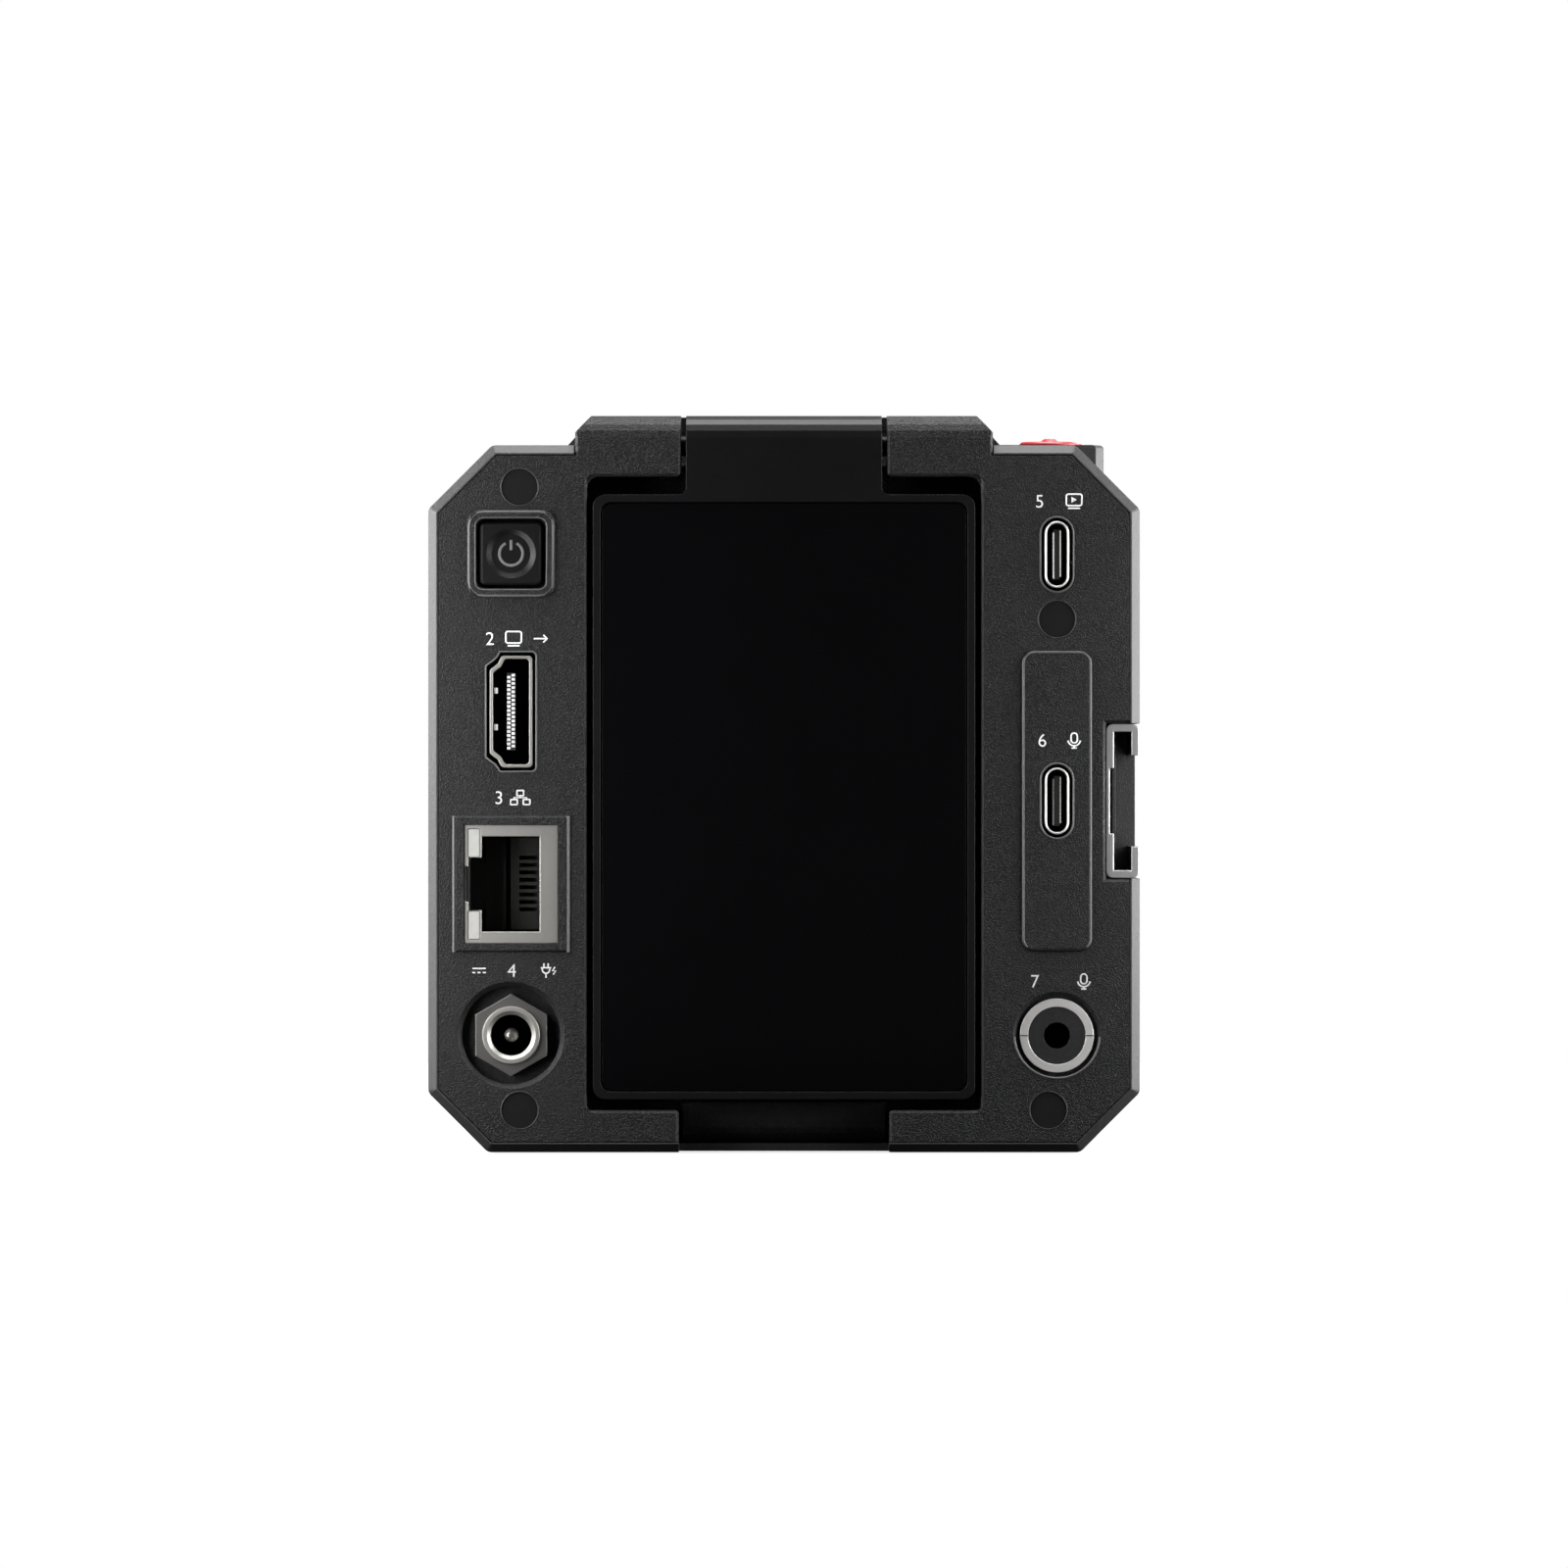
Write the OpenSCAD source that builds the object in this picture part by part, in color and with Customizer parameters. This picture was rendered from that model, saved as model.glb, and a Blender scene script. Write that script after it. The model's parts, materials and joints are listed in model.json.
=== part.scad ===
// Live streaming camera with a screen that flips up from its rear face.
// X runs to the right seen from behind, Y from the rear panel to the lens, Z up.
// The origin is the centre of the overall box, at its base. Depths d count from the rear face.

/* [Body] */
// Width of the body across its side faces
body_w = 95.6; // [94:0.2:106]
// Height of the body from its base to its top face
body_h = 95; // [94:0.5:106]
// Depth of the body from its rear face to its front face
body_d = 70; // [68:1:90]
// Leg of the two upper corner chamfers
top_chamfer = 8.6; // [7.5:0.1:9]
// Leg of the two lower corner chamfers
base_chamfer = 8; // [7:0.1:8.6]
// Radius that rounds the vertices of the octagon
corner_r = 1.2; // [0.6:0.1:1.3]
// Width of the bevel round the rear rim
rim_bevel = 1.1; // [0.9:0.1:1.3]
// Width of the bevel round the front face
front_bevel = 2.2; // [1:0.1:2.4]
// Thickness of the main housing's wall
wall = 2.6; // [2.3:0.1:3]
// Height of the hinge deck above the top face
deck_rise = 4; // [3.8:0.1:6]
// Distance of the hinge deck's foot from the side faces
deck_inset = 18.3; // [17:0.1:19]

/* [Rear panel] */
// Thickness of the rear panel's plate
panel_t = 3.2; // [3:0.1:4]
// Inset of the two port columns from the side faces
column_inset = 11.15; // [10.9:0.05:11.4]
// Inset of the corner screws from the base and the top face
screw_inset = 5.65; // [5.4:0.05:6]
// Inset of the corner screws from the side faces
screw_side_inset = 12.3; // [11.8:0.1:13.6]
// Diameter of the soft plugs over the case screws
plug_dia = 5; // [4.6:0.1:5.2]
// Radius of the round recess about the power inlet
dc_recess_r = 6.6; // [6:0.1:7]
// Radius of the round recess about the audio socket
aux_recess_r = 5.45; // [5.1:0.05:6]

/* [Ports] */
// Drop of the power button's centre from the top face
power_drop = 14.6; // [14.2:0.1:15.4]
// Height of the power inlet's axis
dc_z = 15.75; // [15.4:0.05:17]
// Drop of the upper small socket's centre from the top face
usb_drop = 14.7; // [13:0.1:15.1]
// Drop of the plug between the small sockets from the top face
side_plug_drop = 23.4; // [22.8:0.1:24.4]
// Height of the audio socket's axis
aux_z = 15.7; // [15:0.05:20]

/* [Screen] */
// Distance of the screen's frame from the side faces
screen_inset = 22.15; // [21.8:0.05:24]
// Height of the screen's lower edge above the base
screen_low_z = 7.15; // [6.8:0.05:12]
// Thickness of the closed screen
screen_t = 7.2; // [6.4:0.1:7.6]
// Clearance beside the screen in its recess
screen_gap = 0.8; // [0.5:0.05:1.2]
// Width of the frame left bare beside the glass
frame_border = 1.25; // [1:0.05:2.5]
// Thickness of the cover glass
glass_t = 1; // [0.7:0.1:1.2]
// Width of each hinge ear
ear_w = 14.2; // [12:0.05:15.5]
// Radius of the hinge barrel
barrel_r = 4; // [3.6:0.1:4.2]
// Radius that rounds the upper rear edge of the ears and barrel
ear_round = 3; // [2:0.1:3.4]
// Radius of the hinge pins
hinge_pin_r = 1.4; // [1:0.1:1.6]
// Width of the finger notch below the screen
notch_w = 28.3; // [24:0.1:34]

/* [Buttons] */
// Side of the square power button
power_side = 8.35; // [7.5:0.05:8.6]
// Travel of both buttons
button_travel = 0.5; // [0.3:0.05:0.6]
// Diameter of the live button
live_dia = 8.6; // [7.6:0.1:9]
// Width of the live button's pod, from the hinge deck's foot to its outer side
pod_w = 14; // [13.4:0.1:14.2]
// Length of the pod along the camera's depth
pod_len = 20; // [16:0.5:26]

/* [Accessory shoe] */
// Clear height between the shoe's arms
shoe_inner = 18.65; // [18.5:0.05:19]
// Clear height between the shoe's lips
shoe_mouth = 12.3; // [12:0.1:13]
// Thickness of the shoe's sheet metal
shoe_t = 1; // [0.8:0.05:1.1]
// Length of the shoe
shoe_len = 20; // [18:0.5:22]
// Depth of the pocket that holds the shoe
shoe_pocket = 4.5; // [4.4:0.05:4.8]

/* [Lens] */
// Radius of the lens ring's foot
ring_r = 31; // [28:0.5:34]
// Height of the lens ring over the front face
ring_rise = 13; // [9:0.5:18]
// Outer radius of the lens barrel
barrel_tube_r = 21; // [20:0.5:22]
// Radius of the front lens element
front_lens_r = 16.4; // [14.5:0.1:17]
// Travel of the focus carrier to each side of rest
focus_travel = 1; // [0.5:0.1:1.4]

/* [Base] */
// Radius of the tripod thread's tapped hole
tripod_r = 2.6; // [2.5:0.05:2.7]
// Width of the tripod plate
tripod_plate_w = 30; // [26:1:36]
// Length of the tripod plate along the camera's depth
tripod_plate_len = 22; // [18:1:28]

/* [Cooling] */
// Gap between the fan's frame and the front panel
fan_front_gap = 4; // [3.6:0.1:8]
// Thickness of the fan
fan_t = 10; // [8:0.5:11]
// Length of each vent slot
vent_len = 26; // [18:1:27]
// Width of each vent slot
vent_slot = 1.8; // [1.4:0.1:2.2]
// Distance from one vent slot to the next
vent_pitch = 4; // [3.4:0.1:4.4]

/* [Hidden] */

// Shared fineness, gaps and overrun
$fn = 48;
arc_steps = 5;
over = 0.05;
seam_gap = 0.12;
fit_gap = 0.05;
slip_gap = 0.25;
press_gap = 0.02;

// Overall places
bezel_rise = 0.45;
top_z = body_h + deck_rise;
total_d = bezel_rise + body_d + ring_rise;
back_y = bezel_rise - total_d / 2;
port_x = body_w / 2 - column_inset;
screw_x = body_w / 2 - screw_side_inset;
deck_foot_w = body_w - 2 * deck_inset;
deck_slope = 3.6;
deck_top_w = deck_foot_w - 2 * deck_slope;
hdmi_share = 0.67208;
lan_share = 0.314;
mic_share = 0.48762;
power_z = body_h - power_drop;
usb_z = body_h - usb_drop;
side_plug_z = body_h - side_plug_drop;
hdmi_z = dc_z + (power_z - dc_z) * hdmi_share;
lan_z = dc_z + (power_z - dc_z) * lan_share;
mic_z = aux_z + (usb_z - aux_z) * mic_share;
chamfer_share = 2 - sqrt(2);
half_share = 0.5;

// Main housing
rim_flat = 0.2;
panel_inset = rim_bevel + rim_flat;
front_panel_d = 8;
housing_d = body_d - front_panel_d;
boss_r = 3.2;
boss_end_d = 16;
rib_t = 2.4;
deck_front_slope = 6;
deck_front_gap = 4;

// Hinge block, recess and finger notch of the rear panel
tub_wall = 2;
tub_gap = 0.8;
tub_d = screen_t + tub_gap;
screen_w = body_w - 2 * screen_inset;
recess_w = screen_w + 2 * screen_gap;
hinge_y = back_y + barrel_r;
hinge_z = top_z - barrel_r;
screen_drop = 6.65;
screen_h = hinge_z - screen_drop - screen_low_z;
recess_low_gap = 1.5;
recess_low_z = screen_low_z - recess_low_gap;
sweep_gap = 0.36;
sweep_r = (barrel_r - ear_round) * sqrt(2) + ear_round + sweep_gap;
hinge_wall = 1.8;
block_d = barrel_r + sweep_r + hinge_wall;
ear_drop = 4.2;
ear_low_z = hinge_z - ear_drop;
ear_gap = 0.7;
block_gap = 1.45;
block_w = deck_foot_w - 2 * block_gap;
barrel_w = block_w - 2 * (ear_gap + ear_w);
ear_cut_h = 2.3;
ear_edge = 0.35;
recess_edge = 0.35;
recess_r = 1.6;
recess_low_r = 0.6;
slot_w = barrel_w + 2 * ear_gap;
slot_edge = 0.3;
opening_r = 0.45;
ear_corner_r = 0.65;
opening_radii = [0, opening_r, recess_low_r, recess_r, ear_corner_r, 0,
    0, ear_corner_r, recess_r, recess_low_r, opening_r, 0];
recess_radii = [recess_r, recess_r, recess_low_r, recess_low_r];
notch_d = 6;
notch_bar_d = 4.5;
notch_bar_gap = 0.37;
notch_end_gap = 0.55;
notch_round = 3;
notch_top_r = 0.4;
lip_t = 1.05;
bush_wall = 1;
bush_len = 7;
pin_in = 8;
pin_out = bush_len - 1;

// Raised pads of the rear panel
mic_pad_w = 9.3;
mic_pad_gap = 4.3;
mic_pad_h = 2 * (side_plug_z - mic_z - mic_pad_gap);
mic_pad_r = 1.6;
mic_pad_rise = 0.3;
mic_pad_bevel = 0.3;
lan_pad_w = 15.8;
lan_pad_h = 18.8;
lan_pad_rise = 0.25;
lan_pad_bevel = 0.5;
bezel_side = 11.8;
bezel_r = 1.9;
bezel_bevel = 0.46;
bezel_inner_edge = 0.15;
power_gap = 0.5;
power_r = 0.7;
post_r = 2.6;
post_screw_r = 1;
post_x = 20;
post_high_share = 0.82;
post_low_share = 0.2;

// Case screws and their plugs
plug_t = 1;
plug_sink = 0.1;
screw_head_r = 2.1;
screw_head_t = 1.25;
screw_shank_r = 1.2;
screw_len = 11;
screw_drive_r = 1;
screw_drive_t = 0.7;

// Connectors, which all run to the main board
board_d = 18.5;
board_t = 1.6;
hdmi_w = 5.7;
hdmi_h = 15;
hdmi_wall = 0.4;
hdmi_gap = 0.45;
hdmi_mouth = 10;
hdmi_tongue_w = 1.1;
hdmi_tongue_h = 10.4;
hdmi_step_shares = [[0.5, 0.5], [-0.22, 0.5], [-0.31, 0.43], [-0.5, 0.375]];
hdmi_corner_r = 0.55;
hdmi_contact_count = 9;
contact_pitch = 1;
contact_rise = 0.08;
lan_w = 12.6;
lan_h = 15.9;
lan_wall = 0.35;
lan_depth = 15;
lan_mouth_w = 7.8;
lan_mouth_h = 12.8;
lan_key_w = 1.8;
lan_key_h = 7.1;
lan_latch_h = 4.8;
lan_mouth_inset = 2.45;
lan_light_w = 1.5;
lan_light_h = 3.7;
lan_light_t = 2;
lan_light_x = 0.55;
lan_light_inset = 0.55;
lan_contact_t = 0.45;
lan_contact_w = 2.2;
lan_contact_count = 8;
dc_jack_r = 3.85;
dc_bore_r = 2.75;
dc_bore_d = 9.5;
dc_pin_r = 0.95;
dc_pin_sink = 1.2;
dc_nut_across = 9.6;
dc_nut_t = 1.5;
dc_recess_d = 2;
dc_recess_chamfer = 0.6;
dc_collar_r = 5.4;
dc_barrel_sink = 0.1;
dc_lip = 0.5;
usb_w = 3.3;
usb_h = 9;
usb_wall = 0.3;
usb_gap = 0.5;
usb_mouth = 6.6;
usb_tongue_w = 0.75;
usb_tongue_h = 6.7;
usb_tongue_sink = 0.5;
aux_ring_r = 4.95;
aux_body_r = 3.85;
aux_bore_r = 1.78;
aux_bore_d = 14.5;
aux_recess_d = 0.9;
aux_recess_chamfer = 0.45;
aux_ring_t = 1.6;
aux_sink = 0.15;

// Buttons with their switches and boards
button_flange = 0.6;
flange_t = 0.8;
power_dish_r = 3.4;
power_dish_floor_r = 2.6;
power_dish_d = 0.45;
power_sink = 0.15;
power_bevel = 0.3;
key_side = 6;
key_body_t = 3.4;
key_plunger_r = 1.7;
key_plunger_t = 0.9;
key_gap = 0.15;
key_board_t = 1.2;
key_board_size = [15, 9];
key_post_r = 1.1;
key_post_inset = 1.2;
key_post_x = key_board_size.x / 2 - key_post_inset;
live_ring_r = 5;
live_rise = 0.65;
live_boss_r = 1.5;
live_boss_top_r = 0.9;
live_boss_rise = 0.45;
live_ring_t = 0.8;
live_ring_sink = 0.7;
pod_start_d = 18;
pod_rise = 0.6;
pod_r = 0.6;
pod_z = body_h + pod_rise;
live_x = (deck_foot_w + pod_w) / 2;
live_edge = 0.25;
live_hollow = 0.2;

// Accessory shoe and its pocket
shoe_fit = 0.1;
shoe_pocket_wall = 2;
shoe_pocket_edge = 0.45;
shoe_start_d = 0.3;
shoe_bend_r = 0.9;
shoe_relief_h = 8.8;
shoe_relief_d = 3;
shoe_floor_sink = 0.45;
shoe_screw_r = 0.9;
shoe_screw_head_r = 1.7;
shoe_screw_len = 2.4;
shoe_screw_places = [0.35, 0.78];

// Base
plate_step_t = 1.6;
plate_boss_r = 6;
plate_boss_h = 7.5;
plate_corner_r = 2;
plate_screw_x_share = 0.36;
plate_screw_r = 1;
plate_screw_head_r = 1.8;
plate_screw_len = 4.2;
tripod_d_share = 0.5;

// Main board, cooling and sensor
board_edge = 1.4;
board_screw_head_r = 1.9;
board_screw_head_t = 1.1;
board_screw_len = 5;
chip_side = 15;
chip_t = 1.4;
sink_w = 40;
sink_h = 44;
sink_base_t = 2.5;
fin_room_share = 0.611;
fin_t = 1.2;
fin_count = 9;
fan_start_d = 23;
fan_side = housing_d - fan_start_d - fan_front_gap;
fan_z_share = 0.5;
fan_bore_share = 0.46;
fan_hub_r = 6.5;
fan_hub_wall = 1.2;
fan_blade_gap = 0.6;
fan_blade_t = 0.9;
fan_blades = 9;
fan_blade_turn = 38;
fan_face_gap = 1;
fan_shaft_r = 0.8;
fan_strut_t = 1.2;
fan_strut_w = 2;
fan_screw_inset = 2.6;
fan_screw_r = 1.1;
fan_screw_bite = 1.7;
fan_screw_head_r = 2;
fan_screw_head_t = 1.1;
vent_count = 9;
left_vent_d = fan_start_d + (fan_side - vent_len) / 2;

// Lens, from its sensor to its ring
focus_inset = 22;
sensor_gap = 6;
focus_start_d = body_d - focus_inset;
sensor_board_d = focus_start_d - sensor_gap;
sensor_board_t = 1.2;
sensor_board_side = 36;
sensor_w = 12;
sensor_h = 9;
sensor_t = 1.1;
barrel_front_gap = 4.5;
barrel_rear_r = 17.6;
rear_bore_r = 9.2;
focus_bore_r = 16.2;
stop_t = 2;
stop_bore_r = 11;
filter_r = 8.2;
filter_t = 0.6;
filter_gap = 0.7;
filter_lip = 0.6;
carrier_r = 14.6;
carrier_bore_r = 10.1;
carrier_len = 6.5;
focus_end_room = 1.75;
focus_len = carrier_len + 2 * (focus_travel + focus_end_room);
rod_r = 0.8;
rod_at_r = 12.4;
magnet_wall = 1.1;
focus_lens_edge_t = 2.2;
focus_lens_sag = 1.1;
middle_lens_r = 12.6;
middle_lens_edge_t = 2;
middle_lens_sag = 1.3;
front_lens_edge_t = 3;
front_lens_sag = 2.4;
front_lens_rear_sag = -1.4;
lens_steps = 8;
ring_wall_share = 0.86;
ring_step_share = 0.26;
ring_step_in = 1.6;
ring_edge = 1;
front_wall = 2.4;
spigot_t = 1.1;
spigot_len = 3;
right_vent_d = housing_d - spigot_len - vent_len;
face_step_r = 34;
face_step_d = 0.6;
microphone_r = 2;
microphone_t = 2.4;
microphone_hole_r = 0.6;
microphone_inset = 20.8;
microphone_x = body_w / 2 - microphone_inset;
microphone_z_share = 0.88;
light_r = 1.1;
light_inset = 14.8;
light_x = body_w / 2 - light_inset;
light_t = 2.8;

// Screen
frame_t = 5.2;
frame_r = 1.6;
glass_r = 1.2;
glass_gap = 0.25;
glass_sink = 0.12;
ledge_w = 1.4;
display_t = 2.2;
screen_board_t = 1;
screen_board_gap = 0.3;
screen_board_share = 0.6;
tab_t = 4.6;
tab_fillet_r = 1;
back_edge = 0.9;
screen_screw_r = 0.8;
screen_screw_head_r = 1.5;
screen_screw_head_t = 0.7;
screen_screw_len = 3.2;
screen_screw_inset = 2.4;

// Colours
shell_colour = [0.14, 0.14, 0.145];
dark_colour = [0.07, 0.07, 0.075];
steel_colour = [0.72, 0.71, 0.69];
board_colour = [0.05, 0.22, 0.12];
brass_colour = [0.8, 0.62, 0.25];
glass_colour = [0.03, 0.03, 0.04];
lens_colour = [0.25, 0.3, 0.45, 0.6];
red_colour = [0.75, 0.06, 0.08];

plug_spots = [[-screw_x, body_h - screw_inset], [-screw_x, screw_inset],
    [screw_x, screw_inset], [port_x, side_plug_z]];
usb_spots = [[port_x, usb_z], [port_x, mic_z]];
post_spots = [for (x = [-post_x, post_x], share = [post_low_share, post_high_share]) [x, body_h * share]];

// Points of the arc of radius r that rounds corner b between a and c
function corner_arc(a, b, c, r) =
    let (u = (a - b) / norm(a - b),
         v = (c - b) / norm(c - b),
         half = acos(u * v) / 2,
         centre = b + (u + v) / norm(u + v) * r / sin(half),
         start = b + u * r / tan(half) - centre,
         finish = b + v * r / tan(half) - centre,
         turn = atan2(cross(start, finish), start * finish))
    [for (k = [0:arc_steps])
        let (angle = turn * k / arc_steps)
        centre + [start.x * cos(angle) - start.y * sin(angle),
                  start.x * sin(angle) + start.y * cos(angle)]];

// An outline with its corners rounded by one radius or a list of radii
function rounded(corners, radii) =
    let (n = len(corners))
    [for (i = [0:n - 1])
        let (r = is_list(radii) ? radii[i] : radii)
        each r > 0
            ? corner_arc(corners[(i + n - 1) % n], corners[i], corners[(i + 1) % n], r)
            : [corners[i]]];

function rect_corners(w, h) = [[w / 2, h / 2], [-w / 2, h / 2], [-w / 2, -h / 2], [w / 2, -h / 2]];

// The body's octagon, drawn in by an inset
function octagon_corners(inset) =
    let (w = body_w / 2 - inset,
         high = body_h - inset,
         top = top_chamfer - inset * chamfer_share,
         base = base_chamfer - inset * chamfer_share)
    [[w, inset + base], [w, high - top], [w - top, high], [top - w, high],
     [-w, high - top], [-w, inset + base], [base - w, inset], [w - base, inset]];

// Plain shapes, drawn in the X-Z plane
module octagon(inset) polygon(rounded(octagon_corners(inset), max(corner_r - inset, 0)));

module rounded_rect(w, h, r) polygon(rounded(rect_corners(w, h), r));

module stadium(w, h) {
    square([w, h - w], center = true);
    for (side = [-1, 1])
        translate([0, side * (h - w) / 2]) circle(d = w);
}

// Carries an X-Z drawing from depth d0 to depth d1
module slab(d0, d1)
    translate([0, back_y + d1, 0]) rotate([90, 0, 0]) linear_extrude(d1 - d0) children();

// Carries a Y-Z drawing, whose first coordinate is a depth, from x0 to x1
module across(x0, x1)
    translate([x0, back_y, 0]) rotate([90, 0, 90]) linear_extrude(x1 - x0) children();

// Carries a plan drawing, whose second coordinate is a depth, from z0 to z1
module upright(z0, z1) translate([0, back_y, z0]) linear_extrude(z1 - z0) children();

module at(spot) translate([spot.x, 0, spot.y]) children();

// A round piece along Y, from depth d0 to d1
module rod(d0, d1, r0, r1 = undef)
    translate([0, back_y + d0, 0]) rotate([-90, 0, 0])
        cylinder(h = d1 - d0, r1 = r0, r2 = is_undef(r1) ? r0 : r1);

// A round piece along Y whose outline is a list of [radius, depth]
module turned(outline)
    translate([0, back_y, 0]) rotate([-90, 0, 0]) rotate_extrude() polygon(outline);

module box_d(x0, x1, d0, d1, z0, z1)
    translate([x0, back_y + d0, z0]) cube([x1 - x0, d1 - d0, z1 - z0]);

// A rounded block whose four sides slope from size0 at depth d0 to size1 at depth d1
module sloped_block(size0, size1, r, d0, d1) {
    w = max(size0.x, size1.x);
    h = max(size0.y, size1.y);
    intersection() {
        slab(d0, d1) rounded_rect(w, h, r);
        across(-w / 2, w / 2)
            polygon([[d0, -size0.y / 2], [d1, -size1.y / 2], [d1, size1.y / 2], [d0, size0.y / 2]]);
        upright(-h / 2, h / 2)
            polygon([[-size0.x / 2, d0], [size0.x / 2, d0], [size1.x / 2, d1], [-size1.x / 2, d1]]);
    }
}

// A raised pad with a bevelled edge, standing out of the panel by a rise
module raised_pad(w, h, r, bevel, rise) {
    sloped_block([w - 2 * bevel, h - 2 * bevel], [w, h], r, -rise, bevel - rise);
    slab(bevel - rise, panel_t / 2) rounded_rect(w, h, r);
}

// A cutter that bevels the edge of a rounded opening at depth d0
module edge_cut(w, h, r, bevel, d0)
    sloped_block([w + 2 * (bevel + over), h + 2 * (bevel + over)], [w, h], r, d0 - over, d0 + bevel);

// Main housing: the octagonal tube with the hinge deck and the live button's pod
module main_housing() color(shell_colour) difference() {
    union() {
        housing_block();
        hinge_deck();
        button_pod();
    }
    slab(-over, panel_t) octagon(panel_inset);
    slab(panel_t - over, housing_d + over) octagon(wall);
    hinge_clearance();
    shoe_pocket_cut(housing_d);
    finger_notch();
    notch_bar_room();
    tripod_seat();
    live_bore();
    side_vents();
    fan_screw_holes();
}

module housing_block() hull() {
    slab(0, over) octagon(rim_bevel);
    slab(rim_bevel, housing_d) octagon(0);
}

module hinge_deck() {
    end_d = housing_d - deck_front_gap;
    intersection() {
        slab(block_d + seam_gap, end_d)
            polygon([[-deck_foot_w / 2, body_h - wall / 2], [deck_foot_w / 2, body_h - wall / 2],
                [deck_foot_w / 2, body_h], [deck_top_w / 2, top_z], [-deck_top_w / 2, top_z],
                [-deck_foot_w / 2, body_h]]);
        across(-deck_foot_w, deck_foot_w)
            polygon([[0, 0], [end_d, 0], [end_d, body_h], [end_d - deck_front_slope, top_z + over],
                [0, top_z + over]]);
    }
}

module button_pod() hull() {
    slab(pod_start_d, pod_start_d + over) pod_outline(rim_bevel);
    slab(pod_start_d + rim_bevel, pod_start_d + pod_len) pod_outline(0);
}

module pod_outline(inset) {
    outer = live_x + pod_w / 2 - inset;
    low = body_h - top_chamfer;
    polygon(rounded([[outer, pod_z], [deck_top_w / 2, pod_z], [deck_top_w / 2, low], [outer, low]],
        [pod_r, 0, 0, 0]));
}

// Posts inside the tube that take the case screws, and two that carry the live button's board
module case_posts() color(shell_colour) difference() {
    intersection() {
        slab(panel_t, housing_d) octagon(wall);
        union() {
            for (spot = plug_spots)
                at(spot) rod(panel_t, boss_end_d, boss_r);
            box_d(port_x, body_w / 2, panel_t, boss_end_d, side_plug_z - rib_t / 2, side_plug_z + rib_t / 2);
            for (side = [-1, 1])
                translate([live_x, back_y + live_d() + side * key_post_x, live_board_z()])
                    cylinder(h = body_h - live_board_z(), r = key_post_r);
        }
    }
    for (spot = plug_spots)
        at(spot) rod(panel_t - over, boss_end_d - rib_t, screw_shank_r + press_gap);
}

// Tray behind the side wall that the shoe is screwed into
module shoe_tray() color(shell_colour) difference() {
    box_d(body_w / 2 - shoe_pocket - shoe_pocket_wall, body_w / 2 - wall, panel_t,
        pocket_end_d() + shoe_pocket_wall, mic_z - shoe_out_h() / 2 - shoe_pocket_wall,
        mic_z + shoe_out_h() / 2 + shoe_pocket_wall);
    shoe_pocket_cut(housing_d);
}

// The room that the hinge block of the rear panel takes up in the housing
module hinge_clearance()
    box_d(-block_w / 2 - seam_gap, block_w / 2 + seam_gap, -over, block_d + seam_gap, body_h - wall - over,
        top_z + over);

// The pocket of the shoe, open to the rear and to the side
module shoe_pocket_cut(end_d) {
    pocket_h = shoe_out_h() + 2 * shoe_fit;
    box_d(body_w / 2 - shoe_pocket, body_w / 2 + over, -over, pocket_end_d(), mic_z - pocket_h / 2,
        mic_z + pocket_h / 2);
    for (place = shoe_screw_places)
        translate([body_w / 2 - shoe_pocket - shoe_screw_len, back_y + shoe_start_d + shoe_len * place, mic_z])
            rotate([0, 90, 0]) cylinder(h = shoe_screw_len + over, r = shoe_screw_r + press_gap);
}

function shoe_out_h() = shoe_inner + 2 * shoe_t;
function pocket_end_d() = shoe_start_d + shoe_len + shoe_fit;

module finger_notch()
    box_d(-notch_w / 2, notch_w / 2, -over, notch_d, -over, recess_low_z);

module notch_bar_room()
    box_d(-notch_w / 2, notch_w / 2, notch_d - over, tub_d + tub_wall + seam_gap, lip_t, wall + over);

module tripod_seat() {
    translate([0, tripod_y(), 0]) {
        translate([0, 0, -over]) linear_extrude(plate_step_t + over)
            rounded_rect(tripod_plate_w + 2 * fit_gap, tripod_plate_len + 2 * fit_gap, plate_corner_r);
        cylinder(h = wall + over, r = plate_boss_r + fit_gap);
        for (side = [-1, 1])
            translate([side * tripod_plate_w * plate_screw_x_share, 0, 0])
                cylinder(h = wall + over, r = plate_screw_r + press_gap);
    }
}

function tripod_y() = back_y + body_d * tripod_d_share;

module live_bore() {
    translate([live_x, back_y + live_d(), body_h - wall - over])
        cylinder(h = pod_rise + wall + 2 * over, r = live_dia / 2 + slip_gap);
    translate([live_x, back_y + live_d(), pod_z - live_ring_sink])
        cylinder(h = live_ring_sink + over, r = live_ring_r + fit_gap);
    translate([live_x, back_y + live_d(), body_h - wall - live_room()])
        cylinder(h = live_room() + live_under(), r = live_dia / 2 + button_flange + slip_gap);
}

function live_d() = pod_start_d + pod_len / 2;
// How far the flange's room reaches up into the roof
function live_under() = wall + pod_rise - live_ring_sink - live_ring_t;
function live_room() = flange_t + button_travel + slip_gap;
function live_board_z() = live_flange_z() - button_travel - key_gap - key_plunger_t - key_body_t;
function live_flange_z() = body_h - wall + live_under() - flange_t - slip_gap;

// Rows of slots through both side walls
module side_vents() {
    vents(-body_w / 2 - over, left_vent_d);
    vents(body_w / 2 - wall - over, right_vent_d);
}

module vents(x0, start_d)
    for (row = [0:vent_count - 1])
        translate([x0, back_y + start_d + vent_slot / 2, vent_z(row)]) rotate([90, 0, 90])
            linear_extrude(wall + 2 * over) {
                square([vent_len - vent_slot, vent_slot]);
                for (end = [0, vent_len - vent_slot])
                    translate([end, vent_slot / 2]) circle(d = vent_slot);
            }

function vent_z(row) = body_h * fan_z_share + (row - (vent_count - 1) / 2) * vent_pitch - vent_slot / 2;

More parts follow.
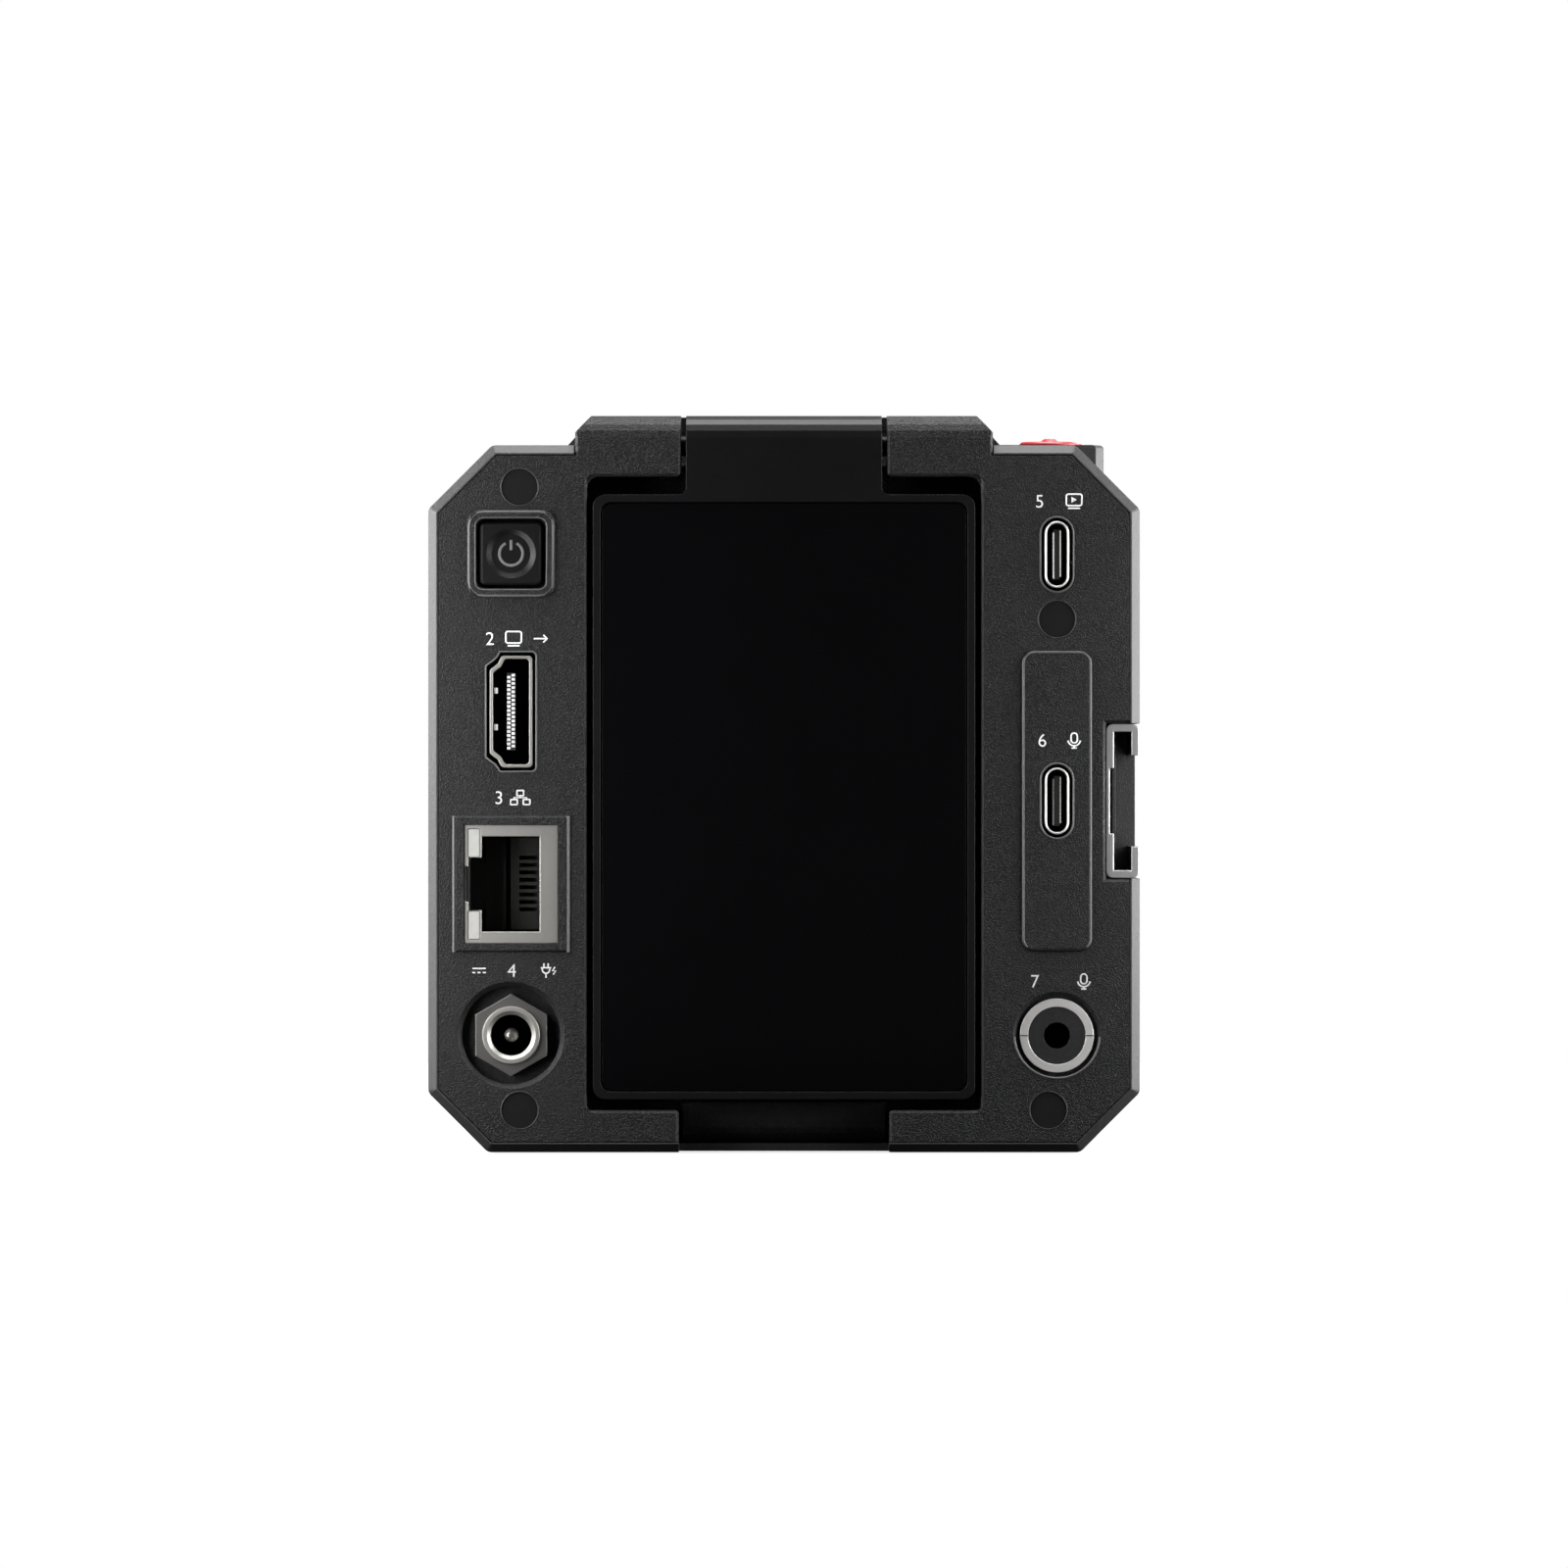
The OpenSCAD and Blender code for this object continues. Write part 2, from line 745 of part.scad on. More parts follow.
// Rear panel: the plate with its recess for the screen, hinge block, raised pads and port holes
module rear_panel() color(shell_colour) difference() {
    union() {
        difference() {
            union() {
                slab(0, panel_t) octagon(panel_inset + seam_gap);
                recess_tub();
                hinge_block();
                mic_pad();
                lan_pad();
                power_bezel();
            }
            panel_opening();
            opening_edges();
        }
        notch_bar();
        board_posts();
        power_posts();
    }
    barrel_sweep();
    for (side = [-1, 1])
        translate([side * barrel_w / 2, hinge_y, hinge_z]) rotate([0, 90 * side, 0])
            cylinder(h = ear_gap + bush_len, r = hinge_pin_r + bush_wall + press_gap);
    shoe_pocket_cut(panel_t);
    shoe_pocket_edge_cut();
    for (spot = plug_spots)
        at(spot) plug_hole();
    at([-port_x, power_z]) power_hole();
    at([-port_x, hdmi_z]) hdmi_hole();
    at([-port_x, lan_z]) slab(-bezel_rise - over, panel_t + over)
        square([lan_w + 2 * fit_gap, lan_h + 2 * fit_gap], center = true);
    at([-port_x, dc_z]) dc_hole();
    for (spot = usb_spots)
        at(spot) usb_hole();
    at([port_x, aux_z]) aux_hole();
}

// The tray behind the plate that the closed screen lies in
module recess_tub()
    box_d(-recess_w / 2 - tub_wall, recess_w / 2 + tub_wall, panel_t - over, tub_d + tub_wall,
        recess_low_z - tub_wall, ear_low_z + tub_wall / 2);

// The opening in the plate: notch, recess and the slot between the ears
module panel_opening() {
    right = [[notch_w / 2, -over], [notch_w / 2, recess_low_z], [recess_w / 2, recess_low_z],
        [recess_w / 2, ear_low_z], [slot_w / 2, ear_low_z], [slot_w / 2, top_z + over]];
    left = [for (k = [len(right) - 1:-1:0]) [-right[k].x, right[k].y]];
    slab(-over, notch_d) polygon(rounded(concat(right, left), opening_radii));
    at([0, (recess_low_z + ear_low_z) / 2]) slab(-over, tub_d)
        polygon(rounded(rect_corners(recess_w, ear_low_z - recess_low_z), recess_radii));
}

module opening_edges() {
    at([0, (recess_low_z + ear_low_z) / 2])
        edge_cut(recess_w, ear_low_z - recess_low_z, recess_r, recess_edge, 0);
    edge_cut(notch_w, 2 * recess_low_z, 0, recess_edge, 0);
    at([0, top_z]) edge_cut(slot_w, 2 * (top_z - ear_low_z), 0, slot_edge, 0);
}

// The two ears and the wall behind the hinge barrel, in one block
module hinge_block() intersection() {
    slab(0, block_d)
        polygon([[-block_w / 2, ear_low_z - over], [block_w / 2, ear_low_z - over],
            [block_w / 2, top_z - ear_cut_h], [deck_top_w / 2, top_z], [-deck_top_w / 2, top_z],
            [-block_w / 2, top_z - ear_cut_h]]);
    across(-block_w, block_w)
        polygon(rounded([[0, 0], [block_d, 0], [block_d, top_z], [0, top_z]], [0, 0, 0, ear_round]));
    upright(0, top_z + over)
        polygon([[ear_edge - block_w / 2, 0], [block_w / 2 - ear_edge, 0], [block_w / 2, ear_edge],
            [block_w / 2, block_d], [-block_w / 2, block_d], [-block_w / 2, ear_edge]]);
}

// The room that the barrel and its tab sweep between the ears
module barrel_sweep() {
    half = slot_w / 2;
    translate([-half, hinge_y, hinge_z]) rotate([0, 90, 0]) cylinder(h = 2 * half, r = sweep_r);
    box_d(-half, half, -over, barrel_r + sweep_r, hinge_z, top_z + over);
    box_d(-half, half, -over, tub_d, ear_low_z - sweep_r, hinge_z);
}

module mic_pad() at([port_x, mic_z])
    raised_pad(mic_pad_w, mic_pad_h, mic_pad_r, mic_pad_bevel, mic_pad_rise);

module lan_pad() at([-port_x, lan_z])
    raised_pad(lan_pad_w, lan_pad_h, 0, lan_pad_bevel, lan_pad_rise);

module power_bezel() at([-port_x, power_z])
    raised_pad(bezel_side, bezel_side, bezel_r, bezel_bevel, bezel_rise);

// The rounded bar behind the finger notch
module notch_bar() {
    half = notch_w / 2 - notch_end_gap;
    high = screen_low_z - notch_bar_gap;
    across(-half, half)
        polygon(rounded([[notch_bar_d, lip_t + seam_gap], [tub_d + tub_wall, lip_t + seam_gap],
            [tub_d + tub_wall, high], [notch_bar_d, high]], [notch_round, 0, 0, notch_top_r]));
}

module board_posts()
    for (spot = post_spots)
        at(spot) difference() {
            rod(tub_d + tub_wall - over, board_d, post_r);
            rod(board_d - board_screw_len, board_d + over, post_screw_r);
        }

module power_posts() at([-port_x, power_z])
    for (side = [-1, 1])
        at([side * key_post_x, 0]) rod(panel_t - over, power_board_d(), key_post_r);

function power_board_d() =
    power_flange_d() + flange_t + button_travel + key_gap + key_plunger_t + key_body_t;
function power_flange_d() = panel_t - flange_t;

module plug_hole() {
    rod(-over, plug_sink + plug_t + screw_head_t, plug_dia / 2 + press_gap);
    rod(-over, panel_t + over, screw_shank_r + fit_gap);
}

module power_hole() {
    side = power_side + 2 * power_gap;
    flange = power_side + 2 * (power_gap + button_flange);
    slab(-bezel_rise - over, panel_t + over) rounded_rect(side, side, power_r + power_gap);
    edge_cut(side, side, power_r + power_gap, bezel_inner_edge, -bezel_rise);
    slab(power_flange_d(), panel_t + over) rounded_rect(flange, flange, power_r + power_gap);
}

module hdmi_hole() slab(-over, panel_t + over) hdmi_outline(hdmi_gap);

// The socket's outline with its two stepped corners, grown outwards
module hdmi_outline(grow) {
    right = [for (share = hdmi_step_shares)
        [share.x * hdmi_w + sign(share.x) * grow, share.y * hdmi_h + grow]];
    polygon(rounded(concat(right, [for (k = [len(right) - 1:-1:0]) [right[k].x, -right[k].y]]), hdmi_corner_r));
}

module dc_hole() {
    rod(-over, dc_recess_d, dc_recess_r);
    rod(-over, dc_recess_chamfer, dc_recess_r + dc_recess_chamfer + over, dc_recess_r);
    rod(0, panel_t + over, dc_jack_r + fit_gap);
}

module usb_hole() slab(-bezel_rise, panel_t + over) stadium(usb_w + 2 * usb_gap, usb_h + 2 * usb_gap);

module aux_hole() {
    rod(-over, aux_recess_d, aux_recess_r);
    rod(-over, aux_recess_chamfer, aux_recess_r + aux_recess_chamfer + over, aux_recess_r);
    rod(0, panel_t + over, aux_ring_r + fit_gap);
}

module shoe_pocket_edge_cut()
    at([body_w / 2, mic_z]) edge_cut(2 * shoe_pocket, shoe_out_h() + 2 * shoe_fit, 0, shoe_pocket_edge, 0);

// Front panel: the cup that closes the tube and carries the lens
module front_panel() color(shell_colour) difference() {
    union() {
        hull() {
            slab(housing_d, body_d - front_bevel) octagon(0);
            slab(body_d - over, body_d) octagon(front_bevel);
        }
        slab(housing_d - spigot_len, housing_d) octagon(wall + fit_gap);
    }
    slab(housing_d - spigot_len - over, body_d - front_wall) octagon(wall + spigot_t);
    at([0, lens_z()]) {
        rod(body_d - front_wall - over, body_d + over, barrel_tube_r + fit_gap);
        rod(body_d - face_step_d, body_d + over, face_step_r);
    }
    for (side = [-1, 1])
        at([side * microphone_x, body_h * microphone_z_share])
            rod(body_d - front_wall - over, body_d + over, microphone_hole_r);
    at([light_x, body_h * microphone_z_share])
        rod(body_d - front_wall - over, body_d + over, light_r + fit_gap);
}

function lens_z() = body_h / 2;

// Case screws, each under a soft plug
module case_screws() color(steel_colour)
    for (spot = plug_spots)
        at(spot) {
            head_d = plug_sink + plug_t;
            difference() {
                rod(head_d, head_d + screw_head_t, screw_head_r);
                rod(head_d - over, head_d + screw_drive_t, screw_drive_r, $fn = 6);
            }
            rod(head_d + screw_head_t, head_d + screw_head_t + screw_len, screw_shank_r);
        }

module screw_plugs() color(dark_colour)
    for (spot = plug_spots)
        at(spot) rod(plug_sink, plug_sink + plug_t, plug_dia / 2);

module hinge_bushes() color(dark_colour)
    for (side = [-1, 1])
        translate([side * (barrel_w / 2 + ear_gap), hinge_y, hinge_z]) rotate([0, 90 * side, 0])
            difference() {
                cylinder(h = bush_len, r = hinge_pin_r + bush_wall);
                translate([0, 0, -over]) cylinder(h = bush_len + 2 * over, r = hinge_pin_r + fit_gap);
            }

// Accessory shoe bent from sheet metal, with a relief in its floor
module shoe_bracket() color(steel_colour) difference() {
    translate([body_w / 2 - shoe_pocket, 0, mic_z]) slab(shoe_start_d, shoe_start_d + shoe_len)
        shoe_section();
    box_d(body_w / 2 - shoe_pocket + shoe_floor_sink, body_w / 2 - shoe_pocket + shoe_t + over,
        shoe_start_d - over, shoe_start_d + shoe_relief_d, mic_z - shoe_relief_h / 2, mic_z + shoe_relief_h / 2);
    for (place = shoe_screw_places)
        translate([body_w / 2 - shoe_pocket - over, back_y + shoe_start_d + shoe_len * place, mic_z])
            rotate([0, 90, 0]) {
                cylinder(h = shoe_t + 2 * over, r = shoe_screw_r + fit_gap);
                translate([0, 0, over]) cylinder(h = shoe_t + over, r1 = shoe_screw_r + fit_gap,
                    r2 = shoe_screw_head_r + fit_gap + over);
            }
}

// The shoe's section: a floor, two arms and two lips
module shoe_section() {
    out = shoe_out_h() / 2;
    span = shoe_pocket - seam_gap;
    difference() {
        polygon(rounded([[0, -out], [span, -out], [span, out], [0, out]], shoe_bend_r));
        polygon([[shoe_t, -shoe_inner / 2], [span - shoe_t, -shoe_inner / 2], [span - shoe_t, -shoe_mouth / 2],
            [span + over, -shoe_mouth / 2], [span + over, shoe_mouth / 2], [span - shoe_t, shoe_mouth / 2],
            [span - shoe_t, shoe_inner / 2], [shoe_t, shoe_inner / 2]]);
    }
}

module shoe_screws() color(steel_colour)
    for (place = shoe_screw_places)
        translate([body_w / 2 - shoe_pocket, back_y + shoe_start_d + shoe_len * place, mic_z])
            rotate([0, 90, 0]) difference() {
                union() {
                    cylinder(h = shoe_t, r1 = shoe_screw_r, r2 = shoe_screw_head_r);
                    translate([0, 0, fit_gap - shoe_screw_len]) cylinder(h = shoe_screw_len, r = shoe_screw_r);
                }
                translate([0, 0, shoe_t / 2]) cylinder(h = shoe_t, r = shoe_screw_r * half_share, $fn = 6);
            }

// Tripod plate with its threaded boss, flush with the base
module tripod_plate() color(steel_colour) translate([0, tripod_y(), 0]) difference() {
    union() {
        linear_extrude(plate_step_t) rounded_rect(tripod_plate_w, tripod_plate_len, plate_corner_r);
        cylinder(h = plate_boss_h, r = plate_boss_r);
    }
    translate([0, 0, -over]) cylinder(h = plate_boss_h + 2 * over, r = tripod_r);
    for (side = [-1, 1])
        translate([side * tripod_plate_w * plate_screw_x_share, 0, -over]) {
            cylinder(h = plate_step_t + 2 * over, r = plate_screw_r + fit_gap);
            cylinder(h = plate_step_t * half_share + over, r = plate_screw_head_r + fit_gap);
        }
}

module tripod_plate_screws() color(steel_colour)
    for (side = [-1, 1])
        translate([side * tripod_plate_w * plate_screw_x_share, tripod_y(), 0]) difference() {
            union() {
                translate([0, 0, seam_gap])
                    cylinder(h = plate_step_t * half_share - seam_gap, r = plate_screw_head_r);
                translate([0, 0, plate_step_t * half_share])
                    cylinder(h = plate_screw_len - plate_step_t * half_share, r = plate_screw_r);
            }
            cylinder(h = plate_step_t * half_share, r = plate_screw_r * half_share, $fn = 6);
        }

// Video socket: a stepped metal shell about a contact tongue
module hdmi_shell() color(steel_colour) at([-port_x, hdmi_z]) difference() {
    slab(0, board_d) hdmi_outline(0);
    slab(-over, hdmi_mouth) hdmi_outline(-hdmi_wall);
}

module hdmi_tongue() color(dark_colour) at([-port_x, hdmi_z]) {
    slab(hdmi_wall, hdmi_mouth) square([hdmi_tongue_w, hdmi_tongue_h], center = true);
    for (side = [-1, 1], k = [0:hdmi_contact_count - 1])
        at([side * hdmi_tongue_w / 2, (k - (hdmi_contact_count - 1) / 2) * contact_pitch])
            slab(2 * hdmi_wall, hdmi_mouth)
                square([2 * contact_rise, contact_pitch * half_share], center = true);
}

// Network socket: plated shell, black insert, contacts and two lights
module lan_shell() color(steel_colour) at([-port_x, lan_z]) difference() {
    slab(0, lan_depth) square([lan_w, lan_h], center = true);
    slab(lan_wall, lan_depth - lan_wall) square([lan_w - 2 * lan_wall, lan_h - 2 * lan_wall], center = true);
    slab(-over, lan_wall + over) lan_mouth(0);
    for (side = [-1, 1])
        lan_light_spot(side) slab(-over, lan_wall + over)
            square([lan_light_w + 2 * press_gap, lan_light_h + 2 * press_gap], center = true);
}

// The stepped mouth: the plug's body, its key and its latch
module lan_mouth(grow) {
    right = lan_w / 2 - lan_mouth_inset + grow;
    left = right - lan_mouth_w - 2 * grow;
    key = left - lan_key_w;
    translate([left, -lan_mouth_h / 2 - grow]) square([right - left, lan_mouth_h + 2 * grow]);
    translate([key, -lan_key_h / 2 - grow]) square([left - key + over, lan_key_h + 2 * grow]);
    translate([-lan_w / 2 - over, -lan_latch_h / 2 - grow])
        square([key + lan_w / 2 + 2 * over, lan_latch_h + 2 * grow]);
}

module lan_light_spot(side)
    at([lan_light_x + lan_light_w / 2 - lan_w / 2, side * (lan_h / 2 - lan_light_inset - lan_light_h / 2)])
        children();

module lan_insert() color(dark_colour) at([-port_x, lan_z]) {
    back = lan_depth - lan_wall;
    room = 2 * (lan_wall + fit_gap);
    difference() {
        slab(lan_wall, back) square([lan_w - room, lan_h - room], center = true);
        intersection() {
            slab(lan_wall - over, back - 2 * lan_wall) lan_mouth(lan_wall / 2);
            slab(lan_wall - over, back) square([lan_w - room - 2 * lan_wall, lan_h], center = true);
        }
        for (side = [-1, 1])
            lan_light_spot(side) slab(lan_wall - over, lan_wall + lan_light_t)
                square([lan_light_w + 2 * fit_gap, lan_light_h + 2 * fit_gap], center = true);
        for (k = [0:lan_contact_count - 1])
            lan_contact_spot(k) slab(2 * lan_wall, back - 2 * lan_wall)
                square([lan_contact_w + lan_wall, lan_contact_t + 2 * fit_gap], center = true);
    }
}

module lan_contact_spot(k)
    at([lan_w / 2 - lan_mouth_inset, (k - (lan_contact_count - 1) / 2) * contact_pitch]) children();

// Sloping spring contacts, held at the back of the socket
module lan_contacts() color(brass_colour) at([-port_x, lan_z]) {
    back = lan_depth - 3 * lan_wall;
    tip = 4 * lan_wall;
    for (k = [0:lan_contact_count - 1])
        lan_contact_spot(k) translate([0, 0, -lan_contact_t / 2]) linear_extrude(lan_contact_t)
            translate([0, back_y])
                polygon([[lan_contact_t, tip], [lan_contact_t, tip + lan_contact_t],
                    [lan_contact_t - lan_contact_w, back - lan_contact_t], [lan_contact_t - lan_contact_w, back],
                    [2 * lan_contact_t - lan_contact_w, back], [2 * lan_contact_t, tip + lan_contact_t],
                    [2 * lan_contact_t, tip]]);
}

module lan_lights() color([0.85, 0.84, 0.8]) at([-port_x, lan_z])
    for (side = [-1, 1])
        lan_light_spot(side) slab(press_gap, lan_wall + lan_light_t - fit_gap)
            square([lan_light_w, lan_light_h], center = true);

// Power inlet: threaded barrel, hexagon nut and centre pin
module dc_jack_barrel() color(steel_colour) at([-port_x, dc_z]) difference() {
    union() {
        rod(dc_barrel_sink, panel_t, dc_jack_r);
        rod(panel_t, board_d, dc_collar_r);
    }
    rod(dc_barrel_sink - over, dc_bore_d, dc_bore_r);
    rod(dc_barrel_sink - over, dc_barrel_sink + dc_lip, dc_bore_r + dc_lip + over, dc_bore_r);
}

module dc_jack_nut() color(steel_colour) at([-port_x, dc_z]) difference() {
    rotate([0, 30, 0]) rod(dc_recess_d - dc_nut_t, dc_recess_d, dc_nut_across / sqrt(3), $fn = 6);
    rod(dc_recess_d - dc_nut_t - over, dc_recess_d + over, dc_jack_r + press_gap);
}

module dc_jack_pin() color(brass_colour) at([-port_x, dc_z]) {
    rod(dc_pin_sink, dc_pin_sink + dc_pin_r / 2, dc_pin_r / 2, dc_pin_r);
    rod(dc_pin_sink + dc_pin_r / 2, dc_bore_d, dc_pin_r);
}

// The two small sockets: rounded shells, each about a flat tongue
module usb_shells() color(steel_colour)
    for (spot = usb_spots)
        at(spot) difference() {
            slab(-usb_rise(spot), board_d) stadium(usb_w, usb_h);
            slab(-usb_rise(spot) - over, usb_mouth) stadium(usb_w - 2 * usb_wall, usb_h - 2 * usb_wall);
        }

module usb_tongues() color(dark_colour)
    for (spot = usb_spots)
        at(spot) slab(usb_tongue_sink - usb_rise(spot), usb_mouth)
            square([usb_tongue_w, usb_tongue_h], center = true);

// The socket on the raised pad stands as proud as the pad
function usb_rise(spot) = spot.y == mic_z ? mic_pad_rise : 0;

module audio_jack_ring() color(steel_colour) at([port_x, aux_z]) difference() {
    rod(aux_sink, aux_sink + aux_ring_t, aux_ring_r);
    rod(aux_sink - over, aux_sink + aux_ring_t + over, aux_body_r + press_gap);
}

module audio_jack_body() color(dark_colour) at([port_x, aux_z]) difference() {
    union() {
        rod(aux_sink + fit_gap, aux_sink + aux_ring_t, aux_body_r);
        rod(aux_sink + aux_ring_t, board_d, aux_ring_r);
    }
    rod(-over, aux_bore_d, aux_bore_r);
}

// Switches behind the two buttons, each on its own small board
module key_switches() color(dark_colour) {
    at([-port_x, power_z]) {
        front_d = power_board_d() - key_body_t;
        slab(front_d, power_board_d()) square(key_side, center = true);
        rod(front_d - key_plunger_t, front_d, key_plunger_r);
    }
    translate([live_x, back_y + live_d(), live_board_z()]) {
        translate([-key_side / 2, -key_side / 2, 0]) cube([key_side, key_side, key_body_t]);
        translate([0, 0, key_body_t]) cylinder(h = key_plunger_t, r = key_plunger_r);
    }
}

module key_boards() color(board_colour) {
    at([-port_x, power_z]) slab(power_board_d(), power_board_d() + key_board_t)
        square(key_board_size, center = true);
    translate([live_x - key_board_size.y / 2, back_y + live_d() - key_board_size.x / 2,
        live_board_z() - key_board_t])
        cube([key_board_size.y, key_board_size.x, key_board_t]);
}

module live_button_ring() color(steel_colour) translate([live_x, back_y + live_d(), pod_z - live_ring_sink])
    difference() {
        cylinder(h = live_ring_t, r = live_ring_r);
        translate([0, 0, -over]) cylinder(h = live_ring_t + 2 * over, r = live_dia / 2 + slip_gap / 2);
    }

// Main board behind the ports, with its processor and heat sink
module main_board() color(board_colour) difference() {
    slab(board_d, board_d + board_t) intersection() {
        octagon(wall + board_edge);
        translate([-body_w / 2, 0])
            square([body_w - shoe_pocket - shoe_pocket_wall - board_edge, body_h]);
    }
    for (spot = post_spots)
        at(spot) rod(board_d - over, board_d + board_t + over, post_screw_r + fit_gap);
}

module board_screws() color(steel_colour)
    for (spot = post_spots)
        at(spot) {
            top_d = board_d + board_t;
            rod(top_d - board_screw_len, top_d, post_screw_r - press_gap);
            difference() {
                rod(top_d, top_d + board_screw_head_t, board_screw_head_r);
                rod(top_d + board_screw_head_t * half_share, top_d + board_screw_head_t + over,
                    post_screw_r * half_share, $fn = 6);
            }
        }

module processor() color(dark_colour) at([0, lens_z()])
    slab(board_d + board_t, board_d + board_t + chip_t) square(chip_side, center = true);

module heat_sink() color(steel_colour) at([0, lens_z()]) {
    base_d = board_d + board_t + chip_t;
    fin_d = base_d + sink_base_t;
    slab(base_d, fin_d) square([sink_w, sink_h], center = true);
    slab(fin_d - over, fin_d + (sensor_board_d - fin_d) * fin_room_share)
        for (k = [0:fin_count - 1])
            translate([-sink_w / 2, (k / (fin_count - 1) - half_share) * (sink_h - fin_t) - fin_t / 2])
                square([sink_w, fin_t]);
}

// Cooling fan against the left wall, blowing out through the vents
module fan_place()
    translate([-body_w / 2 + wall, back_y + fan_start_d + fan_side / 2, body_h * fan_z_share])
        rotate([0, 90, 0]) children();

function fan_bore_r() = fan_side * fan_bore_share;

module fan_corners()
    for (x = [-1, 1], y = [-1, 1])
        translate([x * (fan_side / 2 - fan_screw_inset), y * (fan_side / 2 - fan_screw_inset), 0]) children();

module fan_frame() color(dark_colour) fan_place() {
    difference() {
        translate([-fan_side / 2, -fan_side / 2, 0]) cube([fan_side, fan_side, fan_t]);
        translate([0, 0, -over]) cylinder(h = fan_t + 2 * over, r = fan_bore_r());
        fan_corners() translate([0, 0, -over]) cylinder(h = fan_t + 2 * over, r = fan_screw_r + fit_gap);
    }
    difference() {
        union() {
            cylinder(h = fan_strut_t, r = fan_hub_r);
            for (turn = [0:90:270])
                rotate([0, 0, turn + 45]) translate([0, -fan_strut_w / 2, 0])
                    cube([fan_bore_r() + over, fan_strut_w, fan_strut_t]);
        }
        translate([0, 0, -over]) cylinder(h = fan_strut_t + 2 * over, r = fan_shaft_r + fit_gap);
    }
}

module fan_screws() color(steel_colour) fan_place() fan_corners() {
    translate([0, 0, -fan_screw_bite]) cylinder(h = fan_screw_bite + fan_t, r = fan_screw_r);
    translate([0, 0, fan_t]) cylinder(h = fan_screw_head_t, r = fan_screw_head_r);
}

module fan_screw_holes() fan_place() fan_corners()
    translate([0, 0, -fan_screw_bite - over]) cylinder(h = fan_screw_bite + 2 * over, r = fan_screw_r + press_gap);

// Impeller: a cupped hub, pitched blades and the shaft
module fan_impeller() color(dark_colour) fan_place() {
    blade_h = fan_t - fan_strut_t - 2 * fan_face_gap;
    low = fan_strut_t + fan_face_gap;
    tip_r = fan_bore_r() - fan_blade_gap;
    difference() {
        translate([0, 0, low]) cylinder(h = blade_h, r = fan_hub_r);
        translate([0, 0, low - over]) cylinder(h = blade_h - fan_hub_wall, r = fan_hub_r - fan_hub_wall);
    }
    cylinder(h = low + blade_h - fan_hub_wall / 2, r = fan_shaft_r);
    intersection() {
        translate([0, 0, low]) cylinder(h = blade_h, r = tip_r);
        for (k = [0:fan_blades - 1])
            rotate([0, 0, k * 360 / fan_blades]) translate([0, 0, low + blade_h / 2]) rotate([fan_blade_turn, 0, 0])
                translate([fan_hub_r - fan_hub_wall / 2, -fan_side / 2, -fan_blade_t / 2])
                    cube([fan_bore_r(), fan_side, fan_blade_t]);
    }
}

// Lens ring: the stepped hood over the front face
module lens_ring() color(shell_colour) at([0, lens_z()]) {
    foot = body_d - face_step_d;
    front = body_d + ring_rise;
    side_r = ring_r - ring_step_in;
    step = body_d + ring_rise * ring_step_share;
    mouth_r = side_r * ring_wall_share;
    turned([[barrel_tube_r + fit_gap, foot], [ring_r, foot], [ring_r, step - ring_edge],
        [ring_r - ring_edge / 2, step], [side_r, step + ring_edge / 2], [side_r, front - ring_edge],
        [side_r - ring_edge, front], [mouth_r, front], [barrel_tube_r + fit_gap, front - ring_rise / 2]]);
}

// Lens barrel with shoulders for its elements and a chamber for the focus carrier
module lens_barrel() color(dark_colour) at([0, lens_z()]) {
    rear = sensor_board_d + sensor_board_t;
    stop_d = focus_start_d + focus_len;
    front = body_d + ring_rise - barrel_front_gap - ring_rise / 2;
    turned([[rear_bore_r, rear], [barrel_rear_r, rear], [barrel_rear_r, stop_d], [barrel_tube_r, stop_d],
        [barrel_tube_r, front], [front_lens_r + press_gap, front], [front_lens_r + press_gap, front_seat_d()],
        [middle_lens_r + press_gap, front_seat_d()], [middle_lens_r + press_gap, stop_d + stop_t],
        [stop_bore_r, stop_d + stop_t], [stop_bore_r, stop_d], [focus_bore_r, stop_d],
        [focus_bore_r, focus_start_d], [filter_r - filter_lip, focus_start_d],
        [filter_r - filter_lip, filter_d() + filter_t], [filter_r + press_gap, filter_d() + filter_t],
        [filter_r + press_gap, filter_d()], [rear_bore_r, filter_d()]]);
}

function filter_d() = sensor_board_d + sensor_board_t + sensor_t + filter_gap;
function front_seat_d() = focus_start_d + focus_len + stop_t + middle_lens_edge_t + 2 * middle_lens_sag;

// Half outline of a lens between two faces, each bulging by its sag
function lens_outline(r, edge_t, rear_sag, front_sag) = concat(
    [for (k = [0:lens_steps]) let (share = k / lens_steps) [r * share, -rear_sag * (1 - share * share)]],
    [for (k = [lens_steps:-1:0]) let (share = k / lens_steps) [r * share, edge_t + front_sag * (1 - share * share)]]);

module lens_element(seat_d, r, edge_t, rear_sag, front_sag) color(lens_colour) at([0, lens_z()])
    turned([for (p = lens_outline(r, edge_t, rear_sag, front_sag)) [p.x, p.y + seat_d]]);

module front_lens()
    lens_element(front_seat_d(), front_lens_r, front_lens_edge_t, front_lens_rear_sag, front_lens_sag);

module middle_lens()
    lens_element(focus_start_d + focus_len + stop_t, middle_lens_r, middle_lens_edge_t, 0, middle_lens_sag);

module focus_lens()
    lens_element(carrier_d() + carrier_len / 2 - focus_lens_edge_t / 2, carrier_bore_r, focus_lens_edge_t,
        focus_lens_sag, focus_lens_sag);

function carrier_d() = focus_start_d + (focus_len - carrier_len) / 2;

// Guide rods between the barrel's two shoulders
module focus_rods() color(steel_colour) at([0, lens_z()])
    for (side = [-1, 1])
        at([side * rod_at_r, 0]) rod(focus_start_d, focus_start_d + focus_len, rod_r);

